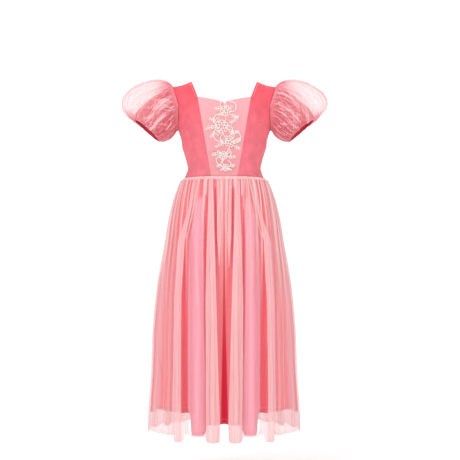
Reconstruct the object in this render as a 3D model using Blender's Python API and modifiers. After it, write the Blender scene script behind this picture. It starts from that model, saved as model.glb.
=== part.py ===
"""A child's princess costume dress, filled out as if worn, with nobody inside.

Velvet bodice with a satin centre panel and lace spray, short puff sleeves of net over coral
under-sleeves, and a long skirt of net over a gathered lining. The origin is midway between the
shoulders, the front faces -Y, +Z is up and the wearer's left is +X. Sizes are in millimetres.
"""
import math
from collections import namedtuple

import bmesh
import bpy
import numpy as np
from mathutils import Vector
from mathutils.geometry import delaunay_2d_cdt

MM = 0.001
SEAM_GAP = 0.3
BODICE_WALL = 1.5
SKIRT_WALL = 1.0
SLEEVE_WALL = 1.0
LACE_WALL = 1.2

# Bodice: levels, seams and edges
WAIST = -246.0
ARMPIT = -117.0
CHEST = -60.0
SHOULDER_TOP = 7.0
SHOULDER_TIP_DROP = 13.0
SHOULDER_SAG = 3.0
NECK_POINT_X = 86.0
SHOULDER_TIP_X = 134.5
ARMHOLE_FRONT_X = 116.5
NECK_CORNER_X = 68.0
NECK_CORNER_HEIGHT = -44.0
CENTRE_DIP_HEIGHT = -62.0
SWEETHEART_POWER = 0.62
CENTRE_WAIST_X = 34.0
BACK_NECK_X = 76.0
BACK_STRAP_GUIDE_X = 52.0
BACK_SCOOP = 7.0
TORSO_SQUARENESS = 2.3

# Half sizes of the body form, which is the cloth's inner face, from the waist up
TorsoRing = namedtuple("TorsoRing", "height half_width front_depth back_depth")
TORSO = (
    TorsoRing(WAIST, 102.5, 79.0, 79.0),
    TorsoRing(-239.0, 99.5, 77.0, 76.0),
    TorsoRing(-229.0, 95.0, 75.0, 73.0),
    TorsoRing(-198.0, 98.0, 77.0, 73.0),
    TorsoRing(-177.0, 104.5, 81.0, 76.0),
    TorsoRing(-166.0, 108.0, 83.0, 78.0),
    TorsoRing(-146.0, 110.5, 86.0, 80.0),
    TorsoRing(ARMPIT, 119.5, 88.0, 82.0),
    TorsoRing(CHEST, 141.0, 86.0, 80.0),
)
BODICE_LOWER_ROWS = (WAIST, -239.0, -229.0, -213.0, -198.0, -177.0, -166.0, -146.0, -131.0)
ARMHOLE_STEP_DEG = 15

# Sleeves
CUFF_CENTRE = Vector((202.0, 0.0, -120.0))
CUFF_RADIUS = 40.0
CUFF_TILT_DEG = 49.0
SLEEVE_TURN_IN = 3.0
SLEEVE_GATHERS = 22
GATHER_AT_ENDS = 0.9
GATHER_IN_PUFF = 4.5
BASE_COLUMNS = 24
BASE_ROWS = 4
NET_ROWS = 8

# How far the cloth swells as it leaves the armhole and as it comes back to the cuff, by the
# angle round the arm: 0 is the top, 90 the front or back, 180 the underside
Swell = namedtuple("Swell", "angle start_out start_round end_round end_past")
BASE_SWELL = (
    Swell(0, 26.0, -9.0, 27.0, -9.0),
    Swell(90, 26.0, 4.0, 14.0, -5.0),
    Swell(180, 5.0, 5.0, 8.0, -5.0),
)
NET_SWELL = (
    Swell(0, 26.0, 49.0, 134.0, 25.0),
    Swell(90, 28.0, 26.0, 56.0, 4.0),
    Swell(180, 4.0, 15.0, 19.0, -8.0),
)

# Skirt
SKIRT_TOP = WAIST - SEAM_GAP
NET_HEM = -902.0
NET_CLEARANCE = 4.0
CLEARANCE_WITHIN = 10.0
GATHER_AT_WAIST = 1.6
GATHER_AT_HEM = 1.0
FOLDS_FULL_AT = 0.45
SLIT_WAIST_DEG = 0.5
SLIT_HEM_DEG = 3.4
SLIT_POWER = 1.6
FOLD_SHOULDERS = (0.25, 0.75)
SKIRT_ROWS = (0.0, 0.003, 0.010, 0.026, 0.065, 0.15, 0.27, 0.45, 0.70, 1.0)

# Half sizes of the lining's inner face, from the hem up
SkirtRing = namedtuple("SkirtRing", "height half_width half_depth")
SKIRT = (
    SkirtRing(NET_HEM, 191.5, 172.0),
    SkirtRing(-837.0, 189.5, 169.0),
    SkirtRing(-754.0, 184.0, 163.0),
    SkirtRing(-629.0, 179.5, 155.0),
    SkirtRing(-546.0, 172.0, 146.0),
    SkirtRing(-504.0, 166.5, 140.0),
    SkirtRing(-421.0, 151.0, 124.0),
    SkirtRing(-338.0, 136.0, 108.0),
    SkirtRing(-296.0, 124.5, 98.0),
    SkirtRing(-276.0, 117.0, 92.0),
    SkirtRing(-260.0, 111.0, 86.0),
    SkirtRing(-252.0, 106.5, 82.0),
    SkirtRing(SKIRT_TOP - 2.0, 102.5, 79.0),
    SkirtRing(SKIRT_TOP, 102.5, 79.0),
)

# The tops and bottoms of the folds: their angle from centre front at the waist and at the hem,
# how far each layer stands out there, and how low each layer hangs
Fold = namedtuple("Fold", "place waist_deg hem_deg lining_out net_out lining_hem net_hem")
FRONT_FOLDS = (
    Fold("centre valley", 0.0, 0.0, -28.0, -6.0, -864.0, -900.0),
    Fold("inner net fold", 15.0, 8.0, -6.0, 6.0, -868.0, NET_HEM),
    Fold("slot", 22.5, 13.0, -11.0, -7.0, -878.0, -894.0),
    Fold("broad lobe", 30.5, 20.0, 3.0, 3.0, -887.0, -889.0),
    Fold("deep valley", 46.0, 29.5, -18.0, -9.0, -852.0, -888.0),
    Fold("outer net fold", 53.5, 35.0, -5.0, 6.0, -850.0, NET_HEM - 6.0),
    Fold("side valley", 60.0, 41.0, -10.0, -6.0, -848.0, -892.0),
    Fold("side fold", 66.0, 47.5, 0.0, 1.0, -848.0, -898.0),
    Fold("side valley", 72.0, 54.0, -8.0, -5.0, -848.0, -893.0),
    Fold("side fold", 78.0, 62.0, 0.0, 0.0, -848.0, -897.0),
    Fold("side valley", 84.0, 75.0, -6.0, -4.0, -848.0, -892.0),
    Fold("side seam", 90.0, 90.0, 0.0, 0.0, -848.0, -896.0),
)
BACK_FOLDS = (
    Fold("side seam", 90.0, 90.0, 0.0, 0.0, -848.0, -896.0),
    Fold("back valley", 96.5, 103.0, -7.0, -5.0, -848.0, -892.0),
    Fold("back fold", 103.0, 113.0, 1.0, 2.0, -850.0, -899.0),
    Fold("back valley", 111.0, 121.0, -13.0, -8.0, -850.0, -891.0),
    Fold("back fold", 119.0, 129.0, -1.0, 4.0, -856.0, NET_HEM),
    Fold("back valley", 127.0, 136.5, -9.0, -6.0, -858.0, -893.0),
    Fold("back fold", 134.0, 144.0, 2.0, 3.0, -862.0, -897.0),
    Fold("back valley", 143.0, 151.5, -15.0, -9.0, -856.0, -890.0),
    Fold("back fold", 151.0, 158.0, 0.0, 5.0, -860.0, NET_HEM),
    Fold("back valley", 159.0, 164.5, -9.0, -7.0, -862.0, -893.0),
    Fold("back fold", 167.5, 171.5, 2.0, 3.0, -866.0, -899.0),
    Fold("centre back valley", 180.0, 180.0, -17.0, -10.0, -856.0, -892.0),
)

# Lace spray, drawn flat as x and height on the centre panel. A curl or a leaf is rooted on a
# flower, counted from the top, and sets out that way from the flower's middle
LACE_LIFT = 0.5
LACE_MERGE = 0.25
Flower = namedtuple("Flower", "x height radius petals turn_deg")
FLOWERS = (
    Flower(4.0, -82.0, 13.5, 6, 10.0),
    Flower(-7.0, -122.0, 17.0, 6, 25.0),
    Flower(14.0, -160.0, 13.0, 5, 0.0),
    Flower(-3.0, -194.0, 11.0, 6, 15.0),
    Flower(4.0, -225.0, 9.5, 5, 40.0),
)
POINTS_PER_PETAL = 4
PETAL_DEPTH = 0.30
ROOT_SHARE = 0.6
STEM_WIDTH = 3.4
STEM_BEND = 5.0
CURL_STEPS = 5
CURL_TIP = 0.65
Curl = namedtuple("Curl", "flower heading_deg turn_deg length width")
CURLS = (
    Curl(0, 150.0, -170.0, 38.0, 2.8),
    Curl(0, -15.0, 200.0, 46.0, 2.8),
    Curl(1, 160.0, -205.0, 50.0, 2.8),
    Curl(1, 205.0, 185.0, 54.0, 2.8),
    Curl(1, 15.0, -215.0, 52.0, 2.8),
    Curl(2, -15.0, 185.0, 46.0, 2.6),
    Curl(2, 200.0, -175.0, 36.0, 2.6),
    Curl(3, 190.0, 175.0, 34.0, 2.6),
    Curl(3, -20.0, 175.0, 30.0, 2.6),
    Curl(4, 165.0, -160.0, 24.0, 2.4),
    Curl(4, 15.0, 160.0, 24.0, 2.4),
)
Leaf = namedtuple("Leaf", "flower heading_deg length width")
LEAVES = (
    Leaf(0, 215.0, 15.0, 6.0),
    Leaf(0, 95.0, 12.0, 5.5),
    Leaf(0, 35.0, 12.0, 5.5),
    Leaf(1, 115.0, 15.0, 6.0),
    Leaf(1, 182.0, 17.0, 6.5),
    Leaf(1, 245.0, 15.0, 6.0),
    Leaf(1, -15.0, 14.0, 6.0),
    Leaf(2, 60.0, 14.0, 6.0),
    Leaf(2, 12.0, 14.0, 5.5),
    Leaf(2, 165.0, 14.0, 6.0),
    Leaf(3, 30.0, 13.0, 5.5),
    Leaf(3, 140.0, 12.0, 5.0),
    Leaf(4, -25.0, 10.0, 4.5),
    Leaf(4, 205.0, 10.0, 4.5),
)
LEAF_POINTS = 6

Finish = namedtuple("Finish", "name colour roughness sheen")
VELVET = Finish("coral_velvet", (0.85, 0.16, 0.21), 0.85, 0.6)
SATIN = Finish("pink_satin", (0.90, 0.48, 0.49), 0.45, 0.0)
UNDER_SLEEVE = Finish("coral_under_sleeve", (0.62, 0.08, 0.12), 0.7, 0.0)
SLEEVE_NET = Finish("pale_net", (0.92, 0.62, 0.64), 0.7, 0.2)
LINING = Finish("pink_lining", (0.86, 0.33, 0.46), 0.5, 0.0)
SKIRT_NET = Finish("peach_net", (0.88, 0.48, 0.46), 0.7, 0.2)
LACE = Finish("corded_lace", (0.93, 0.80, 0.75), 0.6, 0.0)


def ease(share):
    """Zero to one with level ends."""
    return 0.5 - 0.5 * math.cos(math.pi * min(max(share, 0.0), 1.0))


def mix(first, second, share):
    """The value a share of the way from the first to the second."""
    return first + (second - first) * share


def read(table, column, at):
    """A column of a table of rings at a height, straight between its rows."""
    heights = [row.height for row in table]
    return float(np.interp(at, heights, [getattr(row, column) for row in table]))


def rounded(value, squareness):
    """A sine or cosine drawn out towards the corners of a squarish ring."""
    return math.copysign(abs(value) ** (2.0 / squareness), value)


def shoulder_turn(level):
    """The turn over the shoulder: none up to the chest, a quarter turn at the shoulder ridge."""
    return max(level - CHEST, 0.0) / (SHOULDER_TOP - CHEST) * math.pi / 2


def ridge_height(x):
    """The height of the shoulder ridge, which drops a little towards the tip of the shoulder."""
    share = min(max((abs(x) - NECK_POINT_X) / (SHOULDER_TIP_X - NECK_POINT_X), 0.0), 1.0)
    return SHOULDER_TOP - SHOULDER_TIP_DROP * share - SHOULDER_SAG * math.sin(math.pi * share)


def torso_point(angle, level):
    """A point of the body form. The angle is from centre front, and the level is its height
    up to the chest and then its way over the shoulder."""
    turn = shoulder_turn(level)
    width = read(TORSO, "half_width", min(level, CHEST))
    side = "front_depth" if math.cos(angle) > 0 else "back_depth"
    depth = read(TORSO, side, min(level, CHEST))
    x = width * rounded(math.sin(angle), TORSO_SQUARENESS)
    y = -depth * rounded(math.cos(angle), TORSO_SQUARENESS) * math.cos(turn)
    z = level if level <= CHEST else CHEST + (ridge_height(x) - CHEST) * math.sin(turn)
    return Vector((x, y, z))


def torso_angle(x, level):
    """The angle from centre front at which the body form is this wide."""
    share = min(x / read(TORSO, "half_width", min(level, CHEST)), 1.0)
    return math.asin(share ** (TORSO_SQUARENESS / 2))


def level_of(height, x):
    """The level at which a place x to the side has this height."""
    if height <= CHEST:
        return height
    climb = min((height - CHEST) / (ridge_height(x) - CHEST), 1.0)
    return CHEST + (SHOULDER_TOP - CHEST) * math.asin(climb) / (math.pi / 2)


def height_of(level, x):
    """The height of a place x to the side at this level."""
    if level <= CHEST:
        return level
    return CHEST + (ridge_height(x) - CHEST) * math.sin(shoulder_turn(level))


def torso_normal(angle, level):
    """The way out of the cloth at a point of the body form."""
    step_angle = 0.002 if angle < math.pi / 2 else -0.002
    step_level = 0.2 if level < SHOULDER_TOP - 0.2 else -0.2
    here = torso_point(angle, level)
    across = (torso_point(angle + step_angle, level) - here) / step_angle
    up = (torso_point(angle, level + step_level) - here) / step_level
    normal = across.cross(up).normalized()
    return normal if normal.dot(Vector((here.x, here.y, here.z - CHEST))) > 0 else -normal


def armhole_x(level):
    """How far to the side the armhole's edge lies."""
    if level > CHEST:
        return mix(ARMHOLE_FRONT_X, SHOULDER_TIP_X, math.sin(shoulder_turn(level)))
    down = (CHEST - level) / (CHEST - ARMPIT)
    return mix(ARMHOLE_FRONT_X, read(TORSO, "half_width", ARMPIT), down ** 3)


def armhole_level(turn_deg):
    """The level of the armhole's edge, by the angle round the arm from the top."""
    middle = (SHOULDER_TOP + ARMPIT) / 2
    return middle + (SHOULDER_TOP - ARMPIT) / 2 * math.cos(math.radians(turn_deg))


def outer_angle(level):
    """The angle of the front's outer edge: the side seam, and above the armpit the armhole."""
    if level <= ARMPIT:
        return math.pi / 2
    return torso_angle(armhole_x(level), level)


def strap_edge_x(height, corner_x):
    """The neck edge of a strap, straight from the neckline's corner to the shoulder."""
    share = (height - NECK_CORNER_HEIGHT) / (SHOULDER_TOP - NECK_CORNER_HEIGHT)
    return mix(corner_x, NECK_POINT_X, share)


def centre_seam_x(height):
    """The seam between the centre panel and the side front, straight from waist to neckline."""
    share = (height - WAIST) / (NECK_CORNER_HEIGHT - WAIST)
    return mix(CENTRE_WAIST_X, NECK_CORNER_X, share)


def neckline_height(x):
    """The sweetheart top edge of the centre panel."""
    rise = NECK_CORNER_HEIGHT - CENTRE_DIP_HEIGHT
    return CENTRE_DIP_HEIGHT + rise * (abs(x) / NECK_CORNER_X) ** SWEETHEART_POWER


def bodice_levels():
    """The rows of the velvet panels, which meet the armhole at even angles round the arm."""
    over_arm = [armhole_level(turn) for turn in range(180, -1, -ARMHOLE_STEP_DEG)]
    corner = level_of(NECK_CORNER_HEIGHT, NECK_CORNER_X)
    return sorted(list(BODICE_LOWER_ROWS) + over_arm + [corner])


def collection(name):
    """A new collection in the scene."""
    made = bpy.data.collections.new(name)
    bpy.context.scene.collection.children.link(made)
    return made


def material(finish):
    """A cloth's plain material."""
    made = bpy.data.materials.new(finish.name)
    made.use_nodes = True
    shader = made.node_tree.nodes["Principled BSDF"]
    shader.inputs["Base Color"].default_value = (*finish.colour, 1.0)
    shader.inputs["Metallic"].default_value = 0.0
    shader.inputs["Roughness"].default_value = finish.roughness
    shader.inputs["Sheen Weight"].default_value = finish.sheen
    return made


def add_cloth(name, mesh, wall, finish):
    """An open surface made a wall of cloth, its thickness on the outside."""
    mesh.shade_smooth()
    mesh.materials.append(bpy.data.materials.get(finish.name) or material(finish))
    piece = bpy.data.objects.new(name, mesh)
    bpy.data.collections["princess_dress"].objects.link(piece)
    thickness = piece.modifiers.new("Wall", "SOLIDIFY")
    thickness.thickness = wall * MM
    thickness.offset = 1.0
    return piece


def grid_mesh(name, rows, closed, mirrored):
    """A surface through rows of points. A missing point is None and leaves its faces out."""
    built = bmesh.new()
    verts = []
    for row in rows:
        verts.append([None if point is None else built.verts.new(point * MM) for point in row])
    columns = len(rows[0])
    for low, high in zip(verts, verts[1:]):
        for first in range(columns if closed else columns - 1):
            second = (first + 1) % columns
            corners = [low[first], low[second], high[second], high[first]]
            if None not in corners:
                built.faces.new(corners[::-1] if mirrored else corners)
    mesh = bpy.data.meshes.new(name)
    built.to_mesh(mesh)
    built.free()
    return mesh


def add_grid(name, rows, wall, finish, closed=False, mirrored=False):
    """A piece of cloth through rows of points, mirrored to the wearer's right if asked."""
    if mirrored:
        rows = [[None if p is None else Vector((-p.x, p.y, p.z)) for p in row] for row in rows]
    return add_cloth(name, grid_mesh(name, rows, closed, mirrored), wall, finish)


def half_gap(point):
    """A point of the front or back moved half a seam gap away from the side seams."""
    shift = -SEAM_GAP / 2 if point.y < SEAM_GAP else SEAM_GAP / 2
    return point + Vector((0.0, shift, 0.0))


def centre_panel_point(across, up):
    """A point of the centre panel, by its shares from seam to seam and from waist to top."""
    edge_height = mix(WAIST, NECK_CORNER_HEIGHT, up)
    x = across * (centre_seam_x(edge_height) - SEAM_GAP / 2)
    height = mix(WAIST, neckline_height(across * NECK_CORNER_X), up)
    level = level_of(height, x)
    angle = math.copysign(torso_angle(abs(x), level), x)
    return half_gap(torso_point(angle, level))


def add_centre_panel():
    """The satin panel between the side fronts."""
    columns = 10
    lines = 12
    rows = []
    for line in range(lines + 1):
        up = line / lines
        rows.append([centre_panel_point(2 * c / columns - 1, up) for c in range(columns + 1)])
    add_grid("bodice_front_centre", rows, BODICE_WALL, SATIN)


def add_side_fronts():
    """The velvet side fronts with their straps."""
    columns = 6
    rows = []
    for level in bodice_levels():
        height = height_of(level, NECK_CORNER_X)
        if height <= NECK_CORNER_HEIGHT:
            inner_x = centre_seam_x(height) + SEAM_GAP / 2
        else:
            inner_x = strap_edge_x(height, NECK_CORNER_X) + SEAM_GAP / 2
        inner = torso_angle(inner_x, level)
        outer = outer_angle(level)
        row = [half_gap(torso_point(mix(inner, outer, c / columns), level)) for c in range(columns + 1)]
        rows.append(row)
    add_grid("bodice_front_left", rows, BODICE_WALL, VELVET)
    add_grid("bodice_front_right", rows, BODICE_WALL, VELVET, mirrored=True)


def back_row(level, strap_columns, neck_columns):
    """Half a row of the back, from the side or armhole to centre back."""
    height = height_of(level, BACK_NECK_X)
    if height <= NECK_CORNER_HEIGHT:
        share = (height - WAIST) / (NECK_CORNER_HEIGHT - WAIST)
        strap_x = mix(BACK_STRAP_GUIDE_X, BACK_NECK_X, share)
    else:
        strap_x = strap_edge_x(height, BACK_NECK_X)
    outer = math.pi - outer_angle(level)
    strap = math.pi - torso_angle(strap_x, level)
    row = []
    for c in range(strap_columns + 1):
        row.append(torso_point(mix(outer, strap, c / strap_columns), level))
    for c in range(1, neck_columns + 1):
        if height > NECK_CORNER_HEIGHT + SEAM_GAP:
            row.append(None)
            continue
        point = torso_point(mix(strap, math.pi, c / neck_columns), level)
        top_share = max(height - ARMPIT, 0.0) / (NECK_CORNER_HEIGHT - ARMPIT)
        point.z -= BACK_SCOOP * ease(c / neck_columns) * top_share ** 2
        row.append(point)
    return row


def add_back():
    """The velvet back in one piece, with a square neck and two straps."""
    strap_columns = 4
    neck_columns = 3
    rows = []
    for level in bodice_levels():
        left = back_row(level, strap_columns, neck_columns)
        shift = Vector((0.0, SEAM_GAP / 2, 0.0))
        left = [None if p is None else p + shift for p in left]
        right = [None if p is None else Vector((-p.x, p.y, p.z)) for p in left[-2::-1]]
        rows.append(left + right)
    add_grid("bodice_back", rows, BODICE_WALL, VELVET)


def armhole_point(turn_deg):
    """A point just outside the bodice on the armhole's edge, by the angle round the arm."""
    level = armhole_level(turn_deg)
    angle = outer_angle(level)
    if turn_deg > 180:
        angle = math.pi - angle
    return torso_point(angle, level) + torso_normal(angle, level) * (BODICE_WALL + SEAM_GAP)


def swell(table, column, turn_deg):
    """A column of a swell table at an angle round the arm, alike at front and back."""
    turn = turn_deg if turn_deg <= 180 else 360 - turn_deg
    low, high = table[:2] if turn <= 90 else table[1:]
    return mix(getattr(low, column), getattr(high, column), ease((turn - low.angle) / 90))


def sleeve_point(table, layer_out, turn_deg, along):
    """A point of a sleeve, by the angle round the arm and the share from armhole to cuff."""
    turn = math.radians(turn_deg)
    tilt = math.radians(CUFF_TILT_DEG)
    round_arm = Vector((0.0, -math.sin(turn), math.cos(turn)))
    cuff_up = Vector((math.sin(tilt), 0.0, math.cos(tilt)))
    cuff_out = Vector((math.cos(tilt), 0.0, -math.sin(tilt)))
    round_cuff = cuff_up * math.cos(turn) + Vector((0.0, -math.sin(turn), 0.0))
    seam = armhole_point(turn_deg) + round_arm * layer_out
    if along < 0:
        return seam
    start = seam + Vector((SLEEVE_TURN_IN, 0.0, 0.0))
    end = CUFF_CENTRE + round_cuff * (CUFF_RADIUS + layer_out)
    leave = start + Vector((swell(table, "start_out", turn_deg), 0.0, 0.0))
    leave += round_arm * swell(table, "start_round", turn_deg)
    arrive = end + round_cuff * swell(table, "end_round", turn_deg)
    arrive += cuff_out * swell(table, "end_past", turn_deg)
    rest = 1.0 - along
    return (
        start * rest ** 3
        + leave * 3 * rest ** 2 * along
        + arrive * 3 * rest * along ** 2
        + end * along ** 3
    )


def add_under_sleeves():
    """The coral under-sleeves."""
    turns = [360.0 * c / BASE_COLUMNS for c in range(BASE_COLUMNS)]
    places = [-1.0] + [line / BASE_ROWS for line in range(BASE_ROWS + 1)]
    rows = [[sleeve_point(BASE_SWELL, 0.0, turn, along) for turn in turns] for along in places]
    add_grid("sleeve_base_left", rows, SLEEVE_WALL, UNDER_SLEEVE, closed=True)
    add_grid("sleeve_base_right", rows, SLEEVE_WALL, UNDER_SLEEVE, closed=True, mirrored=True)


def puff_point(turn_deg, along):
    """A point of the net puff, with its gathers standing out between seam and cuff."""
    wave = 0.5 - 0.5 * math.cos(math.radians(turn_deg) * SLEEVE_GATHERS)
    full = math.sin(math.pi * max(along, 0.0)) ** 0.7
    depth = mix(GATHER_AT_ENDS, GATHER_IN_PUFF, full) * wave
    return sleeve_point(NET_SWELL, SLEEVE_WALL + SEAM_GAP + depth, turn_deg, along)


def add_puffs():
    """The gathered net puffs over the under-sleeves."""
    columns = 2 * SLEEVE_GATHERS
    turns = [360.0 * c / columns for c in range(columns)]
    places = [-1.0] + [line / NET_ROWS for line in range(NET_ROWS + 1)]
    rows = [[puff_point(turn, along) for turn in turns] for along in places]
    add_grid("sleeve_net_left", rows, SLEEVE_WALL, SLEEVE_NET, closed=True)
    add_grid("sleeve_net_right", rows, SLEEVE_WALL, SLEEVE_NET, closed=True, mirrored=True)


def fold_value(folds, column, place, round_top=True):
    """A column of the fold table between two of its rows, rounded at tops and bottoms if asked."""
    low = min(int(place), len(folds) - 2)
    share = place - low
    if round_top:
        share = ease(share)
    return mix(getattr(folds[low], column), getattr(folds[low + 1], column), share)


def skirt_point(folds, place, height, net):
    """A point of a skirt layer's inner face, by its place in the fold table and its height."""
    at = abs(place)
    drop = (SKIRT_TOP - height) / (SKIRT_TOP - NET_HEM)
    width = read(SKIRT, "half_width", height)
    depth = read(SKIRT, "half_depth", height)
    spread = (width - SKIRT[-1].half_width) / (SKIRT[0].half_width - SKIRT[-1].half_width)
    waist_deg = fold_value(folds, "waist_deg", at, round_top=False)
    hem_deg = fold_value(folds, "hem_deg", at, round_top=False)
    angle_deg = mix(waist_deg, hem_deg, spread)
    opened = ease(drop / FOLDS_FULL_AT)
    if net:
        out = fold_value(folds, "net_out", at) * opened
        clearance = ease((SKIRT_TOP - height) / CLEARANCE_WITHIN)
        out += mix(SKIRT_WALL + SEAM_GAP, NET_CLEARANCE, clearance)
        phase = 2 * math.pi * at
        wave = 0.5 + 0.5 * math.sin(phase if folds is FRONT_FOLDS else -phase)
        out += mix(GATHER_AT_WAIST, GATHER_AT_HEM, drop) * wave
        if folds is FRONT_FOLDS and at < 1:
            angle_deg += mix(SLIT_WAIST_DEG, SLIT_HEM_DEG, drop ** SLIT_POWER) * (1 - at)
    else:
        out = fold_value(folds, "lining_out", at) * opened
    angle = math.radians(math.copysign(angle_deg, place))
    squareness = mix(TORSO_SQUARENESS, 2.0, spread)
    x = (width + out) * rounded(math.sin(angle), squareness)
    y = -(depth + out) * rounded(math.cos(angle), squareness)
    return Vector((x, y, height))


def skirt_rows(folds, places, net):
    """The rows of a skirt piece from its hem up to the waist seam."""
    hem = "net_hem" if net else "lining_hem"
    shift = Vector((0.0, SEAM_GAP / 2 if folds is BACK_FOLDS else -SEAM_GAP / 2, 0.0))
    rows = []
    for share in reversed(SKIRT_ROWS):
        row = []
        for place in places:
            height = mix(SKIRT_TOP, fold_value(folds, hem, abs(place)), share)
            row.append(skirt_point(folds, place, height, net) + shift)
        rows.append(row)
    return rows


def fold_places(folds):
    """Places along a fold table: its two ends, and either side of each top and bottom."""
    last = len(folds) - 1
    shoulders = [step + share for step in range(last) for share in FOLD_SHOULDERS]
    return [0.0] + shoulders + [float(last)]


def add_lining():
    """The lining's front and back."""
    half = fold_places(FRONT_FOLDS)
    places = [-place for place in half[:0:-1]] + half
    rows = skirt_rows(FRONT_FOLDS, places, net=False)
    add_grid("skirt_lining_front", rows, SKIRT_WALL, LINING)
    rows = back_rows(net=False)
    add_grid("skirt_lining_back", rows, SKIRT_WALL, LINING)


def back_rows(net):
    """The rows of a skirt back, from the wearer's left side seam round to the right one."""
    rows = []
    for row in skirt_rows(BACK_FOLDS, fold_places(BACK_FOLDS), net):
        rows.append(row + [Vector((-p.x, p.y, p.z)) for p in row[-2::-1]])
    return rows


def add_overskirt():
    """The net overskirt: two front pieces with a slit between them, and one back."""
    rows = skirt_rows(FRONT_FOLDS, fold_places(FRONT_FOLDS), net=True)
    add_grid("skirt_net_front_left", rows, SKIRT_WALL, SKIRT_NET)
    add_grid("skirt_net_front_right", rows, SKIRT_WALL, SKIRT_NET, mirrored=True)
    add_grid("skirt_net_back", back_rows(net=True), SKIRT_WALL, SKIRT_NET)


def flower_outline(flower):
    """The lobed outline of a lace flower."""
    count = flower.petals * POINTS_PER_PETAL
    outline = []
    for step in range(count):
        turn = 2 * math.pi * step / count
        lobe = 1 - PETAL_DEPTH * (0.5 - 0.5 * math.cos(flower.petals * turn))
        heading = turn + math.radians(flower.turn_deg)
        along = flower.radius * lobe
        outline.append((flower.x + along * math.cos(heading), flower.height + along * math.sin(heading)))
    return outline


def root_of(sprig):
    """Where a curl or a leaf starts, inside its flower, and the way that it sets out."""
    flower = FLOWERS[sprig.flower]
    heading = math.radians(sprig.heading_deg)
    reach = flower.radius * ROOT_SHARE
    return flower.x + reach * math.cos(heading), flower.height + reach * math.sin(heading), heading


def band_outline(middle, widths):
    """The outline of a flat band along a line of places and headings."""
    left, right = [], []
    for (x, height, heading), width in zip(middle, widths):
        side_x = width / 2 * math.sin(heading)
        side_height = width / 2 * math.cos(heading)
        left.append((x - side_x, height + side_height))
        right.append((x + side_x, height - side_height))
    return right + left[::-1]


def curl_outline(curl):
    """The outline of a curl that narrows to its tip."""
    x, height, heading = root_of(curl)
    step_length = curl.length / CURL_STEPS
    step_turn = math.radians(curl.turn_deg) / CURL_STEPS
    middle, widths = [], []
    for step in range(CURL_STEPS + 1):
        middle.append((x, height, heading))
        widths.append(curl.width * mix(1.0, CURL_TIP, step / CURL_STEPS))
        x += step_length * math.cos(heading)
        height += step_length * math.sin(heading)
        heading += step_turn
    return band_outline(middle, widths)


def stem_outline(upper, lower, bend):
    """The outline of the bent stem between two flowers."""
    start = Vector((upper.x, upper.height))
    end = Vector((lower.x, lower.height))
    way = end - start
    side = Vector((-way.y, way.x)).normalized() * bend
    middle = []
    for share in (0.2, 0.5, 0.8):
        place = start + way * share + side * math.sin(math.pi * share)
        heading = math.atan2(way.y, way.x) + math.cos(math.pi * share) * bend / way.length
        middle.append((place.x, place.y, heading))
    return band_outline(middle, [STEM_WIDTH] * len(middle))


def leaf_outline(leaf):
    """The pointed oval of a leaf."""
    x, height, heading = root_of(leaf)
    outline = []
    for step in range(LEAF_POINTS):
        turn = 2 * math.pi * step / LEAF_POINTS
        along = leaf.length / 2 * (1 + math.cos(turn))
        across = leaf.width / 2 * math.sin(turn)
        leaf_x = x + along * math.cos(heading) - across * math.sin(heading)
        leaf_height = height + along * math.sin(heading) + across * math.cos(heading)
        outline.append((leaf_x, leaf_height))
    return outline


def on_centre_panel(x, height):
    """The place of the lace's back, just clear of the centre panel's outer face."""
    level = level_of(height, abs(x))
    angle = torso_angle(abs(x), level)
    point = half_gap(torso_point(angle, level))
    point += torso_normal(angle, level) * (BODICE_WALL + LACE_LIFT)
    return Vector((math.copysign(point.x, x), point.y, point.z))


def add_lace():
    """The lace spray as one sheet: its motifs merged flat, then laid on the centre panel."""
    outlines = [flower_outline(flower) for flower in FLOWERS]
    outlines += [curl_outline(curl) for curl in CURLS]
    outlines += [leaf_outline(leaf) for leaf in LEAVES]
    for number, (upper, lower) in enumerate(zip(FLOWERS, FLOWERS[1:])):
        outlines.append(stem_outline(upper, lower, STEM_BEND * (-1) ** number))
    points = [Vector(point) for outline in outlines for point in outline]
    faces = []
    start = 0
    for outline in outlines:
        faces.append(list(range(start, start + len(outline))))
        start += len(outline)
    flat, _, triangles, _, _, _ = delaunay_2d_cdt(points, [], faces, 1, LACE_MERGE)
    built = bmesh.new()
    verts = [built.verts.new(on_centre_panel(p.x, p.y) * MM) for p in flat]
    for triangle in triangles:
        built.faces.new([verts[index] for index in triangle])
    loose = [vert for vert in built.verts if not vert.link_faces]
    bmesh.ops.delete(built, geom=loose, context="VERTS")
    mesh = bpy.data.meshes.new("lace_applique")
    built.to_mesh(mesh)
    built.free()
    add_cloth("lace_applique", mesh, LACE_WALL, LACE)


for old in list(bpy.data.objects):
    bpy.data.objects.remove(old, do_unlink=True)
collection("princess_dress")
add_centre_panel()
add_side_fronts()
add_back()
add_under_sleeves()
add_puffs()
add_lining()
add_overskirt()
add_lace()
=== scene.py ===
import math
import random
from types import SimpleNamespace

import bmesh
import bpy
import numpy as np
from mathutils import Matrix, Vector
from mathutils.geometry import delaunay_2d_cdt


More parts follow.
